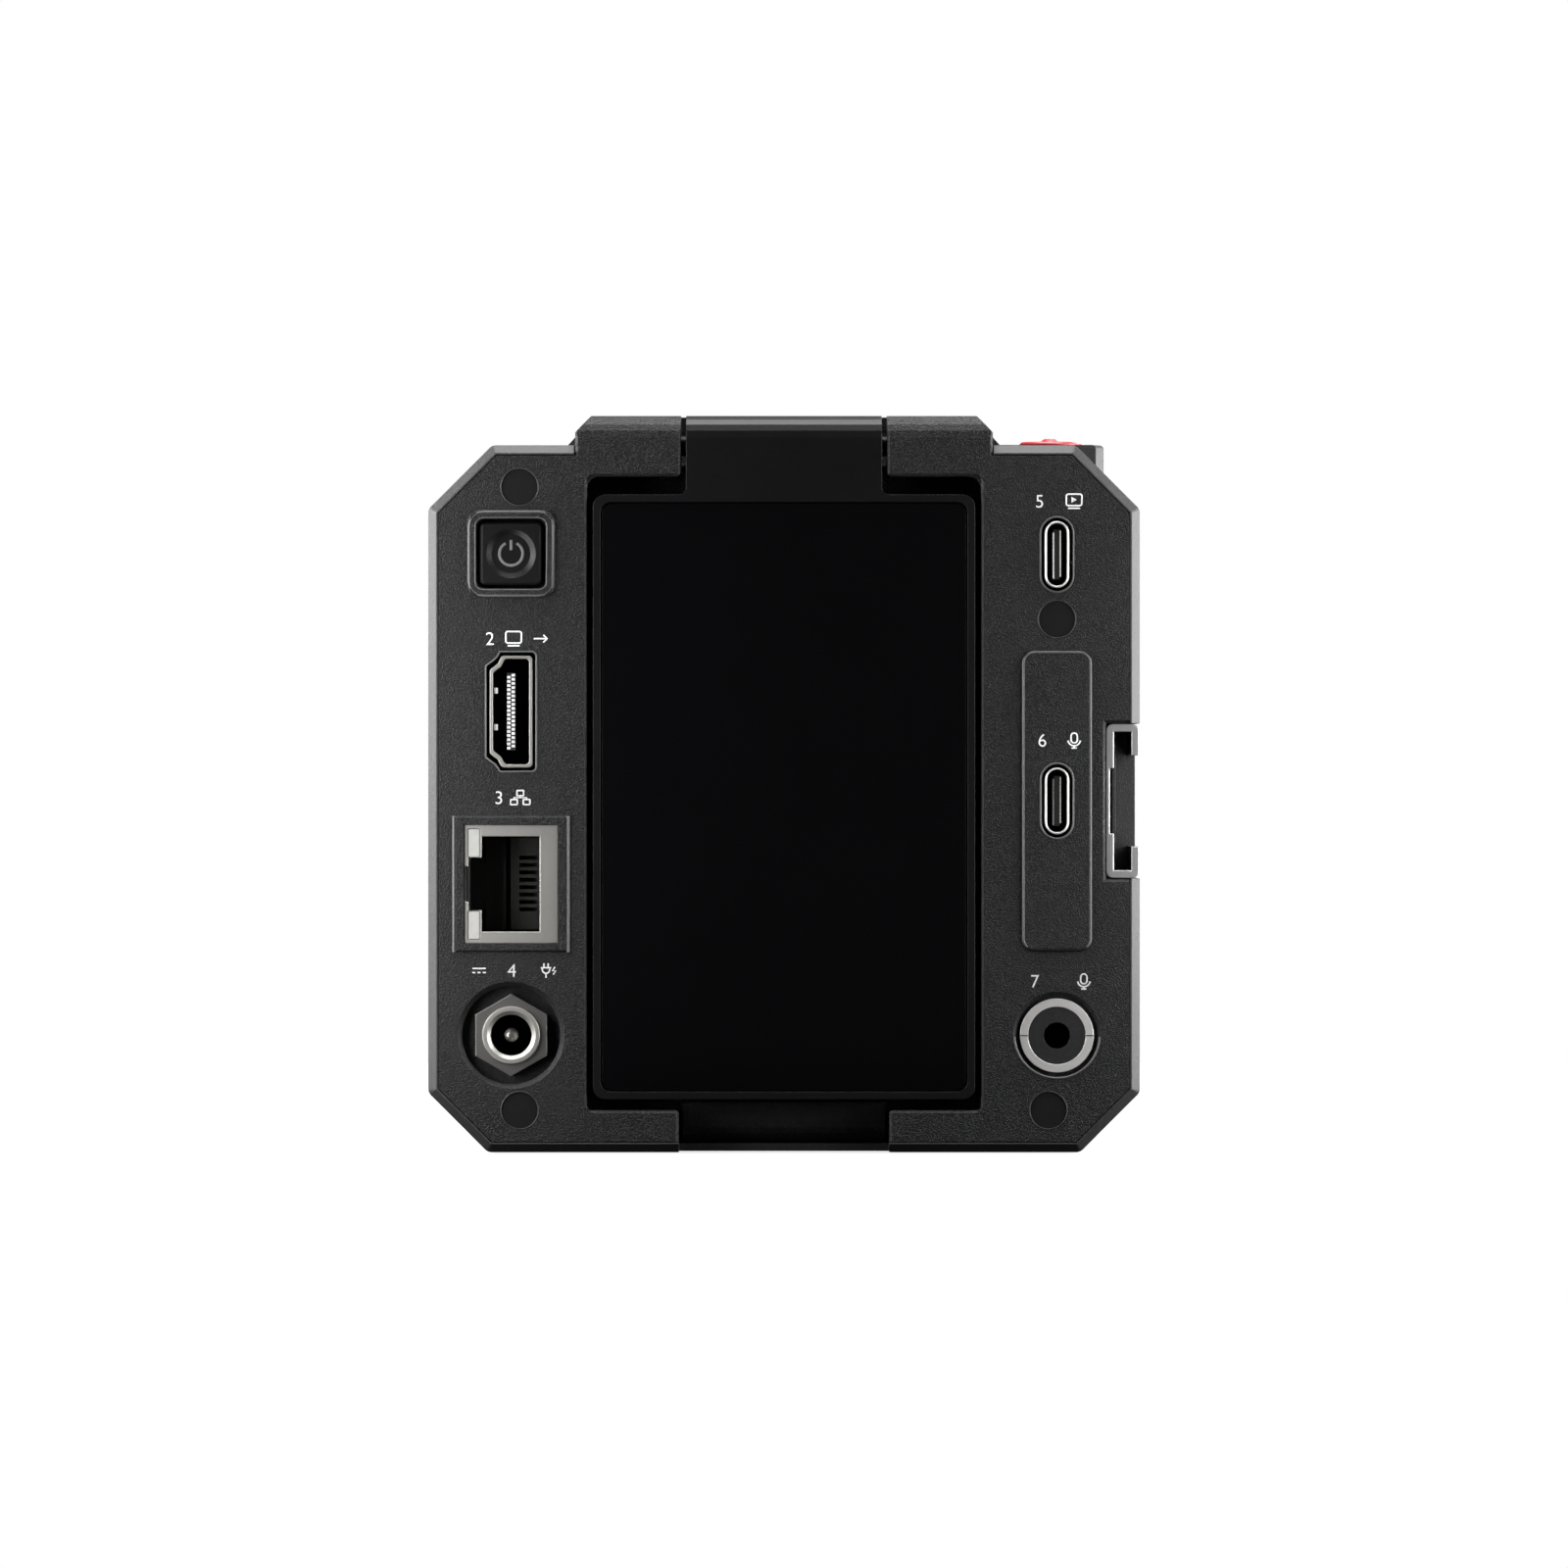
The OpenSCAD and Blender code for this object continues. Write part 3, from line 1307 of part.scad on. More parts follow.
module focus_magnet() color(steel_colour) at([0, lens_z()]) difference() {
    rod(focus_start_d, focus_start_d + focus_len / 2, focus_bore_r - press_gap);
    rod(focus_start_d - over, focus_start_d + focus_len, focus_bore_r - magnet_wall);
}

module focus_carrier() color(dark_colour) at([0, lens_z()]) difference() {
    rod(carrier_d(), carrier_d() + carrier_len, carrier_r);
    rod(carrier_d() - over, carrier_d() + carrier_len + over, carrier_bore_r + press_gap);
    for (side = [-1, 1])
        at([side * rod_at_r, 0]) rod(carrier_d() - over, carrier_d() + carrier_len + over, rod_r + fit_gap);
}

module sensor_board() color(board_colour) at([0, lens_z()])
    slab(sensor_board_d, sensor_board_d + sensor_board_t) square(sensor_board_side, center = true);

module image_sensor() color(dark_colour) at([0, lens_z()])
    slab(sensor_board_d + sensor_board_t, sensor_board_d + sensor_board_t + sensor_t)
        square([sensor_w, sensor_h], center = true);

module filter_glass() color(lens_colour) at([0, lens_z()])
    rod(filter_d(), filter_d() + filter_t, filter_r);

module microphones() color(steel_colour)
    for (side = [-1, 1])
        at([side * microphone_x, body_h * microphone_z_share])
            rod(body_d - front_wall - microphone_t, body_d - front_wall, microphone_r);

module status_light() color([0.8, 0.8, 0.78]) at([light_x, body_h * microphone_z_share]) {
    rod(body_d - light_t, body_d - press_gap, light_r);
}

// Power button: a square cap with a dished centre and a flange behind the panel
module power_button() color(shell_colour) at([-port_x, power_z]) {
    face_d = power_sink - bezel_rise;
    flange = power_side + 2 * button_flange;
    difference() {
        union() {
            hull() {
                slab(face_d, face_d + over)
                    rounded_rect(power_side - 2 * power_bevel, power_side - 2 * power_bevel, power_r - power_bevel);
                slab(face_d + power_bevel, power_flange_d() + flange_t)
                    rounded_rect(power_side, power_side, power_r);
            }
            slab(power_flange_d() + fit_gap, power_flange_d() + flange_t) rounded_rect(flange, flange, power_r);
        }
        rod(face_d - over, face_d + power_dish_d, power_dish_r, power_dish_floor_r);
    }
}

// Live button: a red cap with a shallow dish, a raised middle and a flange under the roof
module live_button() color(red_colour) translate([live_x, back_y + live_d(), 0]) {
    r = live_dia / 2 - fit_gap;
    high = pod_z + live_rise;
    rotate_extrude() polygon([[0, live_flange_z()], [r + button_flange, live_flange_z()],
        [r + button_flange, live_flange_z() + flange_t], [r, live_flange_z() + flange_t],
        [r, high - live_edge], [r - live_edge, high], [r - 3 * live_edge, high],
        [live_boss_r + live_edge, high - live_hollow], [live_boss_r, high],
        [live_boss_top_r, high + live_boss_rise], [0, high + live_boss_rise]]);
}

// Screen frame with its hinge tab and barrel
module screen_frame() color(dark_colour) difference() {
    union() {
        screen_slab(0, frame_t, 0, frame_r);
        hinge_tab();
    }
    screen_slab(-over, glass_sink + glass_t, frame_border - glass_gap, glass_r + glass_gap);
    screen_slab(0, frame_t + over, frame_border + ledge_w, glass_r);
    for (side = [-1, 1])
        translate([side * (barrel_w / 2 - pin_in), hinge_y, hinge_z]) rotate([0, 90 * side, 0])
            cylinder(h = pin_in + over, r = hinge_pin_r + press_gap);
    for (x = [-1, 1], z = [0, 1])
        screen_screw_spot(x, z) rod(frame_t - screen_screw_len, frame_t + over, screen_screw_r + press_gap);
}

// A rounded slab of the screen, drawn in from its outline by an inset
module screen_slab(d0, d1, inset, r)
    slab(d0, d1) translate([0, screen_low_z + screen_h / 2])
        rounded_rect(screen_w - 2 * inset, screen_h - 2 * inset, r);

module hinge_tab() {
    across(-barrel_w / 2, barrel_w / 2)
        polygon(rounded([[0, screen_low_z + screen_h - frame_border], [tab_t, screen_low_z + screen_h - frame_border],
            [tab_t, hinge_z], [barrel_r, hinge_z], [barrel_r, top_z], [0, top_z]], [0, 0, 0, 0, 0, ear_round]));
    translate([-barrel_w / 2, hinge_y, hinge_z]) rotate([0, 90, 0]) cylinder(h = barrel_w, r = barrel_r);
    tab_root();
}

// The widened root of the tab, with a fillet at each side
module tab_root() {
    half = barrel_w / 2;
    wide = half + 2 * tab_fillet_r;
    low = screen_low_z + screen_h;
    high = low + 2 * tab_fillet_r;
    slab(0, tab_t) polygon(rounded([[wide, low - frame_border], [wide, low], [half, low], [half, high],
        [-half, high], [-half, low], [-wide, low], [-wide, low - frame_border]],
        [0, 0, tab_fillet_r, 0, 0, tab_fillet_r, 0, 0]));
}

module screen_glass() color(glass_colour)
    screen_slab(glass_sink, glass_sink + glass_t, frame_border, glass_r);

module display_panel() color(dark_colour)
    screen_slab(glass_sink + glass_t, glass_sink + glass_t + display_t, frame_border + ledge_w + glass_gap, glass_r);

module screen_board() color(board_colour) {
    start = glass_sink + glass_t + display_t + screen_board_gap;
    slab(start, start + screen_board_t) translate([0, screen_low_z + screen_h / 2])
        square([screen_w * screen_board_share, screen_h * screen_board_share], center = true);
}

// Back cover of the screen, seen when the screen is up
module screen_back() color(shell_colour) difference() {
    hull() {
        screen_slab(frame_t, screen_t - back_edge, 0, frame_r);
        screen_slab(screen_t - over, screen_t, back_edge, frame_r);
    }
    for (x = [-1, 1], z = [0, 1])
        screen_screw_spot(x, z) {
            rod(frame_t - over, screen_t + over, screen_screw_r + fit_gap);
            rod(screen_t - screen_screw_head_t, screen_t + over, screen_screw_head_r + fit_gap);
        }
}

module screen_screw_spot(x, z)
    at([x * (screen_w / 2 - frame_border - screen_screw_inset / 2),
        screen_low_z + (z ? screen_h - screen_screw_inset : screen_screw_inset)]) children();

module screen_screws() color(steel_colour)
    for (x = [-1, 1], z = [0, 1])
        screen_screw_spot(x, z) difference() {
            union() {
                rod(screen_t - screen_screw_head_t, screen_t - press_gap, screen_screw_head_r);
                rod(frame_t - screen_screw_len + press_gap, screen_t - screen_screw_head_t, screen_screw_r);
            }
            rod(screen_t - screen_screw_head_t * half_share, screen_t, screen_screw_r * half_share, $fn = 6);
        }

module hinge_pins() color(steel_colour)
    for (side = [-1, 1])
        translate([side * (barrel_w / 2 - pin_in), hinge_y, hinge_z]) rotate([0, 90 * side, 0])
            cylinder(h = pin_in + ear_gap + pin_out, r = hinge_pin_r);

main_housing();
case_posts();
shoe_tray();
rear_panel();
front_panel();
case_screws();
screw_plugs();
hinge_bushes();
shoe_bracket();
shoe_screws();
tripod_plate();
tripod_plate_screws();
hdmi_shell();
hdmi_tongue();
lan_shell();
lan_insert();
lan_contacts();
lan_lights();
dc_jack_barrel();
dc_jack_nut();
dc_jack_pin();
usb_shells();
usb_tongues();
audio_jack_ring();
audio_jack_body();
key_switches();
key_boards();
live_button_ring();
main_board();
board_screws();
processor();
heat_sink();
fan_frame();
fan_screws();
fan_impeller();
lens_ring();
lens_barrel();
front_lens();
middle_lens();
focus_rods();
focus_magnet();
focus_carrier();
focus_lens();
sensor_board();
image_sensor();
filter_glass();
microphones();
status_light();
power_button();
live_button();
screen_frame();
screen_glass();
display_panel();
screen_board();
screen_back();
screen_screws();
hinge_pins();
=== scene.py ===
"""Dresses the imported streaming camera: finishes, printed marks, turned and moulded detail, light and view."""
import json
import math
import bpy
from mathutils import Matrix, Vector


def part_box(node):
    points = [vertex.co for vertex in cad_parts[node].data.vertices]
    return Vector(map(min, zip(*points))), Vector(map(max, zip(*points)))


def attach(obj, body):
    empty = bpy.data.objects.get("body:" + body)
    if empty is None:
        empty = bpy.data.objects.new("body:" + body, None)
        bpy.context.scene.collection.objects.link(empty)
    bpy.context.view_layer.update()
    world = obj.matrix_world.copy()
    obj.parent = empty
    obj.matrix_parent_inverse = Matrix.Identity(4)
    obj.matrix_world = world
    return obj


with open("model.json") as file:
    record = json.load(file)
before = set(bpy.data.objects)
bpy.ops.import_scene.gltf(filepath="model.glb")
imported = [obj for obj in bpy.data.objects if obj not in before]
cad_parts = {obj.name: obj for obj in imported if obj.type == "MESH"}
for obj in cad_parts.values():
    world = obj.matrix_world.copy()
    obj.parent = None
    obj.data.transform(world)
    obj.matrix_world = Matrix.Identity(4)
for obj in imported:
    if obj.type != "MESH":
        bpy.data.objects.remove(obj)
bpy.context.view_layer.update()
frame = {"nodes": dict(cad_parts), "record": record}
nodes = frame["nodes"]
MM = 0.001
EAR_RISE = 0.45
panel_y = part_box("rear_panel")[0].y + EAR_RISE * MM

# View

REAR_FACE_Y = -0.0413
LOOK_HEIGHT = 0.04948
CAMERA_AWAY = 1.40
PICTURE_WIDTH = 0.21053
lens_data = bpy.data.cameras.new("view_lens")
lens_data.sensor_width = 36
lens_data.lens = lens_data.sensor_width * CAMERA_AWAY / PICTURE_WIDTH
lens_data.clip_start = 0.1
lens_data.clip_end = 20
view_camera = bpy.data.objects.new("view_camera", lens_data)
bpy.context.scene.collection.objects.link(view_camera)
view_camera.location = (0, REAR_FACE_Y - CAMERA_AWAY, LOOK_HEIGHT)
view_camera.rotation_euler = (math.radians(90), 0, 0)
bpy.context.scene.camera = view_camera
bpy.context.scene.view_settings.view_transform = "Standard"


# Shader sums

class Flow:
    """A shader socket that can be written in sums."""

    def __init__(self, finish, socket):
        self.finish = finish
        self.socket = socket

    def math(self, operation, first, second):
        return self.finish.node("ShaderNodeMath", {"operation": operation}, {0: first, 1: second})

    def __add__(self, other):
        return self.math("ADD", self, other)

    def __radd__(self, other):
        return self.math("ADD", other, self)

    def __sub__(self, other):
        return self.math("SUBTRACT", self, other)

    def __mul__(self, other):
        return self.math("MULTIPLY", self, other)

    def __lt__(self, other):
        return self.math("LESS_THAN", self, other)


class Finish:
    """A material with one Principled shader, fed by textures on Object coordinates."""

    def __init__(self, name, colour, roughness, metallic=0.0, **fixed):
        self.material = bpy.data.materials.new(name)
        self.material.use_nodes = True
        self.tree = self.material.node_tree
        self.tree.nodes.clear()
        self.colour = (*colour, 1.0)
        output = self.tree.nodes.new("ShaderNodeOutputMaterial")
        self.shader = self.tree.nodes.new("ShaderNodeBsdfPrincipled")
        self.tree.links.new(self.shader.outputs["BSDF"], output.inputs["Surface"])
        self.place = self.node("ShaderNodeTexCoord", out="Object")
        self.put("Base Color", self.colour)
        self.put("Roughness", roughness)
        self.put("Metallic", metallic)
        for socket, value in fixed.items():
            self.put(socket.replace("_", " "), value)

    def node(self, kind, settings=None, inputs=None, out=0):
        made = self.tree.nodes.new(kind)
        for setting, value in (settings or {}).items():
            if setting == "stops":
                for k, (at, shade) in enumerate(value):
                    stop = made.color_ramp.elements[k] if k < 2 else made.color_ramp.elements.new(at)
                    stop.position = at
                    stop.color = (shade, shade, shade, 1.0)
            else:
                setattr(made, setting, value)
        for socket, value in (inputs or {}).items():
            self.feed(made.inputs[socket], value)
        return Flow(self, made.outputs[out])

    def feed(self, socket, value):
        if isinstance(value, Flow):
            self.tree.links.new(value.socket, socket)
        elif value is not None:
            socket.default_value = value

    def put(self, socket, value):
        self.feed(self.shader.inputs[socket], value)

    def depth(self):
        """How far a point lies behind the rear panel's face."""
        place = self.node("ShaderNodeSeparateXYZ", None, {0: self.place}, out="Y")
        return place - panel_y

    def stretched(self, across):
        """Object coordinates, squeezed by a factor along each axis."""
        return self.node("ShaderNodeMapping", None, {"Vector": self.place, "Scale": across})

    def noise(self, size, detail=3.0, roughness=0.55, place=None):
        return self.node("ShaderNodeTexNoise", None,
                         {"Vector": place or self.place, "Scale": 1 / size,
                          "Detail": detail, "Roughness": roughness})

    def cells(self, size):
        return self.node("ShaderNodeTexVoronoi", None, {"Vector": self.place, "Scale": 1 / size},
                         out="Distance")

    def ramp(self, value, *stops):
        return self.node("ShaderNodeValToRGB", {"stops": stops}, {"Fac": value})

    def blend(self, share, first, second):
        return self.node("ShaderNodeMix", {"data_type": "RGBA"}, {0: share, 6: first, 7: second}, out=2)

    def tint(self, share, amount):
        """The base colour, moved towards a lighter or darker shade of itself by a share."""
        shade = tuple(min(1.0, c * amount) for c in self.colour[:3]) + (1.0,)
        self.put("Base Color", self.blend(share, self.colour, shade))

    def bump(self, height, depth, below=None):
        return self.node("ShaderNodeBump", None,
                         {"Height": height, "Distance": depth, "Strength": 1.0, "Normal": below})

    def edges(self, radius):
        """Normals rounded over each edge, as a fine radius on the real piece."""
        return self.node("ShaderNodeBevel", {"samples": 4}, {"Radius": radius})


def grained(name, colour, roughness, grain, depth, edge, **fixed):
    """A matt coat or moulding: fine grain, faint mottling and a rounded edge."""
    finish = Finish(name, colour, roughness, **fixed)
    fine = finish.noise(grain, 2.0)
    specks = finish.ramp(finish.noise(grain * 0.8, 1.0), (0.5, 0.0), (0.72, 1.0))
    mottle = finish.noise(grain * 45, 2.0)
    finish.tint(mottle * 0.5 + fine * 0.3 + specks * 0.9, 2.2)
    finish.put("Roughness", roughness - 0.07 + fine * 0.08 + mottle * 0.06)
    finish.put("Normal", finish.bump(fine * 0.7 + specks * 0.5, depth, below=finish.edges(edge)))
    return finish


# Painted shade: between these depths behind the panel's face, plated colours fade to their dark grey.
SHADE_PAINTED_FROM = 0.0005
SHADE_PAINTED_FULL = 0.0016


def plated(name, colour, roughness, grain, across, edge, inside=0.012):
    """Bright metal with fine drawing lines along one axis and faint tarnish. From 0.5 to 1.6 mm behind the
    panel's face its colour fades to a near-black grey, painted shade for the depths of a socket that darkens
    every plated part lying that deep.
    """
    finish = Finish(name, colour, roughness, metallic=1.0)
    lines = finish.noise(grain, 3.0, place=finish.stretched(across))
    tarnish = finish.noise(grain * 18, 3.0)
    # Share of painted shade, growing with depth behind the panel's face.
    sunk = finish.node("ShaderNodeMapRange", None,
                       {0: finish.depth(), 1: SHADE_PAINTED_FROM, 2: SHADE_PAINTED_FULL, 3: 0.0, 4: 1.0})
    tarnished = tuple(c * 0.62 for c in colour) + (1.0,)
    worn = finish.blend(tarnish * lines, finish.colour, tarnished)
    finish.put("Base Color", finish.blend(sunk, worn, (inside, inside, inside, 1.0)))
    finish.put("Roughness", roughness - 0.08 + lines * 0.12 + tarnish * 0.08)
    finish.put("Normal", finish.bump(lines, grain * 0.02, below=finish.edges(edge)))
    return finish


GLASS_EDGE = 0.00005


def glossy(name, colour, roughness, smudge, **fixed):
    """Glass or a polished face: clean gloss with faint smudges in its roughness."""
    finish = Finish(name, colour, roughness, **fixed)
    film = finish.noise(smudge, 4.0, 0.65)
    dust = finish.cells(smudge * 0.16) < 0.035
    finish.put("Roughness", roughness + film * roughness * 0.8 + dust * 0.05)
    finish.tint(film, 1.4)
    finish.put("Normal", finish.edges(GLASS_EDGE))
    return finish


# Columns of a grained finish: name, colour, roughness, grain, bump depth, edge radius.
# Columns of a plated finish: name, colour, roughness, grain, stretch, edge radius, and the painted shade colour
# that parts deep in a socket fade to.
# Columns of a glossy finish: name, colour, roughness, size of smudges. All lengths are in metres.
FINE = 0.00022
finishes = {
    "housing_metal": grained("housing_coat", (0.013, 0.013, 0.0133), 0.5, FINE, 0.00003, 0.00018,
                             Specular_IOR_Level=0.42),
    "panel_black": grained("panel_moulding", (0.0048, 0.0048, 0.0049), 0.46, FINE * 1.1, 0.0001, 0.0001,
                           Specular_IOR_Level=0.26),
    # Painted highlight: the panel moulding about ten times lighter, for the beads along the edges of openings
    # and pads.
    "highlit_edge": grained("highlit_edge_moulding", (0.045, 0.045, 0.0455), 0.4, FINE, 0.00002, 0.0001),
    "soft_plug": grained("plug_rubber", (0.0028, 0.0028, 0.0029), 0.7, FINE * 0.8, 0.00001, 0.0001,
                         Specular_IOR_Level=0.14),
    "bearing_plastic": grained("bush_plastic", (0.03, 0.03, 0.03), 0.5, FINE, 0.000005, 0.0001),
    "shoe_metal": plated("shoe_sheet", (0.62, 0.62, 0.62), 0.4, 0.0001, (1, 6, 1), 0.00022),
    "insert_black": grained("connector_moulding", (0.008, 0.008, 0.0085), 0.42, FINE * 1.2, 0.000006,
                            0.00006),
    "ring_dark": grained("trim_anodised", (0.05, 0.05, 0.052), 0.34, FINE * 0.7, 0.000005, 0.00008,
                         metallic=0.5),
    "fan_plastic": grained("fan_moulding", (0.03, 0.03, 0.032), 0.45, FINE * 1.3, 0.000008, 0.00012),
    "ring_metal": grained("lens_ring_coat", (0.028, 0.028, 0.029), 0.4, FINE * 0.7, 0.000007, 0.00015),
    "barrel_black": grained("lens_barrel_coat", (0.012, 0.012, 0.0125), 0.62, FINE, 0.00001, 0.0001),
    "power_cap": grained("power_cap_moulding", (0.0025, 0.0025, 0.0026), 0.4, FINE, 0.000018, 0.00016,
                         Specular_IOR_Level=0.22),
    "live_red": grained("live_cap_moulding", (0.32, 0.01, 0.015), 0.38, FINE * 0.8, 0.000007, 0.00018),
    "screen_black": grained("screen_case_moulding", (0.0018, 0.0018, 0.0019), 0.42, FINE * 0.8, 0.000008,
                            0.00012, Specular_IOR_Level=0.24),
    "screw_steel": plated("screw_steel_finish", (0.46, 0.45, 0.44), 0.34, 0.0001, (1, 1, 6), 0.00006),
    "nut_plating": plated("nut_plating", (0.24, 0.235, 0.225), 0.42, 0.00012, (1, 1, 5), 0.0002, 0.2),
    "socket_metal": plated("socket_plating", (0.5, 0.488, 0.46), 0.46, 0.00012, (1, 1, 5), 0.0002),
    "contact_gold": plated("contact_plating", (0.75, 0.66, 0.5), 0.3, 0.0001, (1, 4, 1), 0.0003, 0.6),
    "tongue_plating": grained("tongue_plating", (0.75, 0.74, 0.71), 0.4, FINE, 0.000004, 0.00005),
    "ring_plating": plated("ring_plating", (0.82, 0.81, 0.79), 0.5, 0.00012, (1, 1, 5), 0.00012, 0.3),
    "socket_floor": grained("socket_floor_moulding", (0.007, 0.007, 0.006), 0.7, FINE, 0.000006, 0.00005),
    "magnet_plate": plated("magnet_plating", (0.5, 0.5, 0.5), 0.3, 0.00012, (1, 1, 5), 0.00008),
    "sink_aluminium": plated("sink_extrusion", (0.62, 0.62, 0.63), 0.42, 0.00016, (5, 1, 1), 0.0001),
    "sensor_glass": glossy("sensor_cover", (0.02, 0.05, 0.05), 0.08, 0.002),
    "cover_glass": glossy("screen_cover", (0.0016, 0.0016, 0.0019), 0.06, 0.012),
    "display_black": glossy("display_face", (0.004, 0.004, 0.005), 0.2, 0.01),
    "light_pipe": glossy("light_pipe_plastic", (0.3, 0.3, 0.285), 0.3, 0.0012),
    "lens_glass": glossy("lens_coated", (0.93, 0.95, 0.97), 0.03, 0.006, Transmission_Weight=1.0,
                         Specular_Tint=(0.5, 0.4, 0.95, 1.0)),
    "filter_tint": glossy("filter_coated", (0.45, 0.72, 0.8), 0.04, 0.006, Transmission_Weight=0.9),
    "ink": grained("white_ink", (0.6, 0.6, 0.6), 0.55, FINE * 0.5, 0.000002, 0.00001),
    "low_ink": grained("pale_ink", (0.34, 0.34, 0.34), 0.55, FINE * 0.5, 0.000002, 0.00001),
    "key_ink": grained("grey_ink", (0.075, 0.075, 0.075), 0.5, FINE * 0.5, 0.000002, 0.00001),
}


def circuit_board():
    """Green solder mask over copper traces, with bright pads."""
    finish = Finish("solder_mask", (0.008, 0.05, 0.022), 0.34)
    traces = finish.node("ShaderNodeTexBrick", {"offset": 0.5},
                         {"Vector": finish.place, "Scale": 260.0, "Mortar Size": 0.03}, out="Fac")
    pads = finish.cells(0.0026) < 0.12
    mask = finish.blend(traces, (0.007, 0.045, 0.02, 1), (0.014, 0.085, 0.038, 1))
    gold = (0.55, 0.42, 0.2, 1)
    finish.put("Base Color", finish.blend(pads, mask, gold))
    finish.put("Metallic", pads)
    finish.put("Normal", finish.bump(traces + pads, 0.00003))
    return finish


finishes["board_green"] = circuit_board()


CORNER_ANGLE = 26


def soft_arcs():
    """Shades arcs smooth and leaves true corners sharp."""
    group = bpy.data.node_groups.new("soft_arcs", "GeometryNodeTree")
    group.interface.new_socket("Geometry", in_out="INPUT", socket_type="NodeSocketGeometry")
    group.interface.new_socket("Geometry", in_out="OUTPUT", socket_type="NodeSocketGeometry")
    start = group.nodes.new("NodeGroupInput")
    finish = group.nodes.new("NodeGroupOutput")
    faces = group.nodes.new("GeometryNodeSetShadeSmooth")
    edges = group.nodes.new("GeometryNodeSetShadeSmooth")
    edges.domain = "EDGE"
    edges.inputs["Shade Smooth"].default_value = False
    angle = group.nodes.new("GeometryNodeInputMeshEdgeAngle")
    sharp = group.nodes.new("FunctionNodeCompare")
    sharp.inputs["B"].default_value = math.radians(CORNER_ANGLE)
    group.links.new(angle.outputs["Unsigned Angle"], sharp.inputs["A"])
    group.links.new(start.outputs[0], faces.inputs["Geometry"])
    group.links.new(faces.outputs[0], edges.inputs["Geometry"])
    group.links.new(sharp.outputs[0], edges.inputs["Selection"])
    group.links.new(edges.outputs[0], finish.inputs[0])
    return group


arcs_group = soft_arcs()
slot_of = {part["node"]: part["material_slot"] for part in frame["record"]["subparts"]}
own_finish = {"dc_jack_nut": "nut_plating", "audio_jack_ring": "ring_plating"}
for name, node in nodes.items():
    material = finishes[own_finish.get(name, slot_of[name])].material
    if not node.material_slots:
        node.data.materials.append(material)
    for material_slot in node.material_slots:
        material_slot.material = material
    node.modifiers.new("soft_arcs", "NODES").node_group = arcs_group


# Stage and light

def whitened(name, share):
    """Paper that a camera sees nearly white under a faint shadow, and that throws no light back up."""
    material = bpy.data.materials.new(name)
    material.use_nodes = True
    tree = material.node_tree
    tree.nodes.clear()
    output = tree.nodes.new("ShaderNodeOutputMaterial")
    path = tree.nodes.new("ShaderNodeLightPath")
    diffuse = tree.nodes.new("ShaderNodeBsdfDiffuse")
    tree.links.new(path.outputs["Is Camera Ray"], diffuse.inputs["Color"])
    glow = tree.nodes.new("ShaderNodeEmission")
    glow.inputs["Strength"].default_value = 1.0
    seen = tree.nodes.new("ShaderNodeMath")
    seen.operation = "MAXIMUM"
    tree.links.new(path.outputs["Is Camera Ray"], seen.inputs[0])
    tree.links.new(path.outputs["Is Transmission Ray"], seen.inputs[1])
    scaled = tree.nodes.new("ShaderNodeMath")
    scaled.operation = "MULTIPLY"
    scaled.inputs[1].default_value = share
    tree.links.new(seen.outputs[0], scaled.inputs[0])
    mix = tree.nodes.new("ShaderNodeMixShader")
    tree.links.new(scaled.outputs[0], mix.inputs[0])
    tree.links.new(diffuse.outputs[0], mix.inputs[1])
    tree.links.new(glow.outputs[0], mix.inputs[2])
    tree.links.new(mix.outputs[0], output.inputs["Surface"])
    return material


bpy.ops.object.select_all(action="DESELECT")
FLOOR_RADIUS = 0.42
FLOOR_DROP = 0.0002
FLOOR_GLOW_SHARE = 0.8
bpy.ops.mesh.primitive_circle_add(vertices=96, radius=FLOOR_RADIUS, fill_type="NGON",
                                  location=(0, 0, -FLOOR_DROP))
floor = bpy.context.object
floor.name = "floor"
floor.data.materials.append(whitened("floor_paper", FLOOR_GLOW_SHARE))

ROOM_COLOUR = (0.022, 0.022, 0.0225, 1)
world = bpy.data.worlds.new("studio")
bpy.context.scene.world = world
world.use_nodes = True
sky = world.node_tree
sky.nodes.clear()
sky_out = sky.nodes.new("ShaderNodeOutputWorld")
sky_path = sky.nodes.new("ShaderNodeLightPath")
room = sky.nodes.new("ShaderNodeBackground")
room.inputs["Color"].default_value = ROOM_COLOUR
white = sky.nodes.new("ShaderNodeBackground")
white.inputs["Color"].default_value = (1, 1, 1, 1)
sky_mix = sky.nodes.new("ShaderNodeMixShader")
sky.links.new(sky_path.outputs["Is Camera Ray"], sky_mix.inputs[0])
sky.links.new(room.outputs[0], sky_mix.inputs[1])
sky.links.new(white.outputs[0], sky_mix.inputs[2])
sky.links.new(sky_mix.outputs[0], sky_out.inputs["Surface"])


def softbox(name, place, aim, width, height, power):
    data = bpy.data.lights.new(name, "AREA")
    data.shape = "RECTANGLE"
    data.size = width
    data.size_y = height
    data.energy = power
    lamp = bpy.data.objects.new(name, data)
    bpy.context.scene.collection.objects.link(lamp)
    lamp.location = place
    lamp.rotation_euler = (Vector(aim) - Vector(place)).to_track_quat("-Z", "Y").to_euler()
    lamp.visible_camera = False


MIDDLE = (0, 0, 0.05)
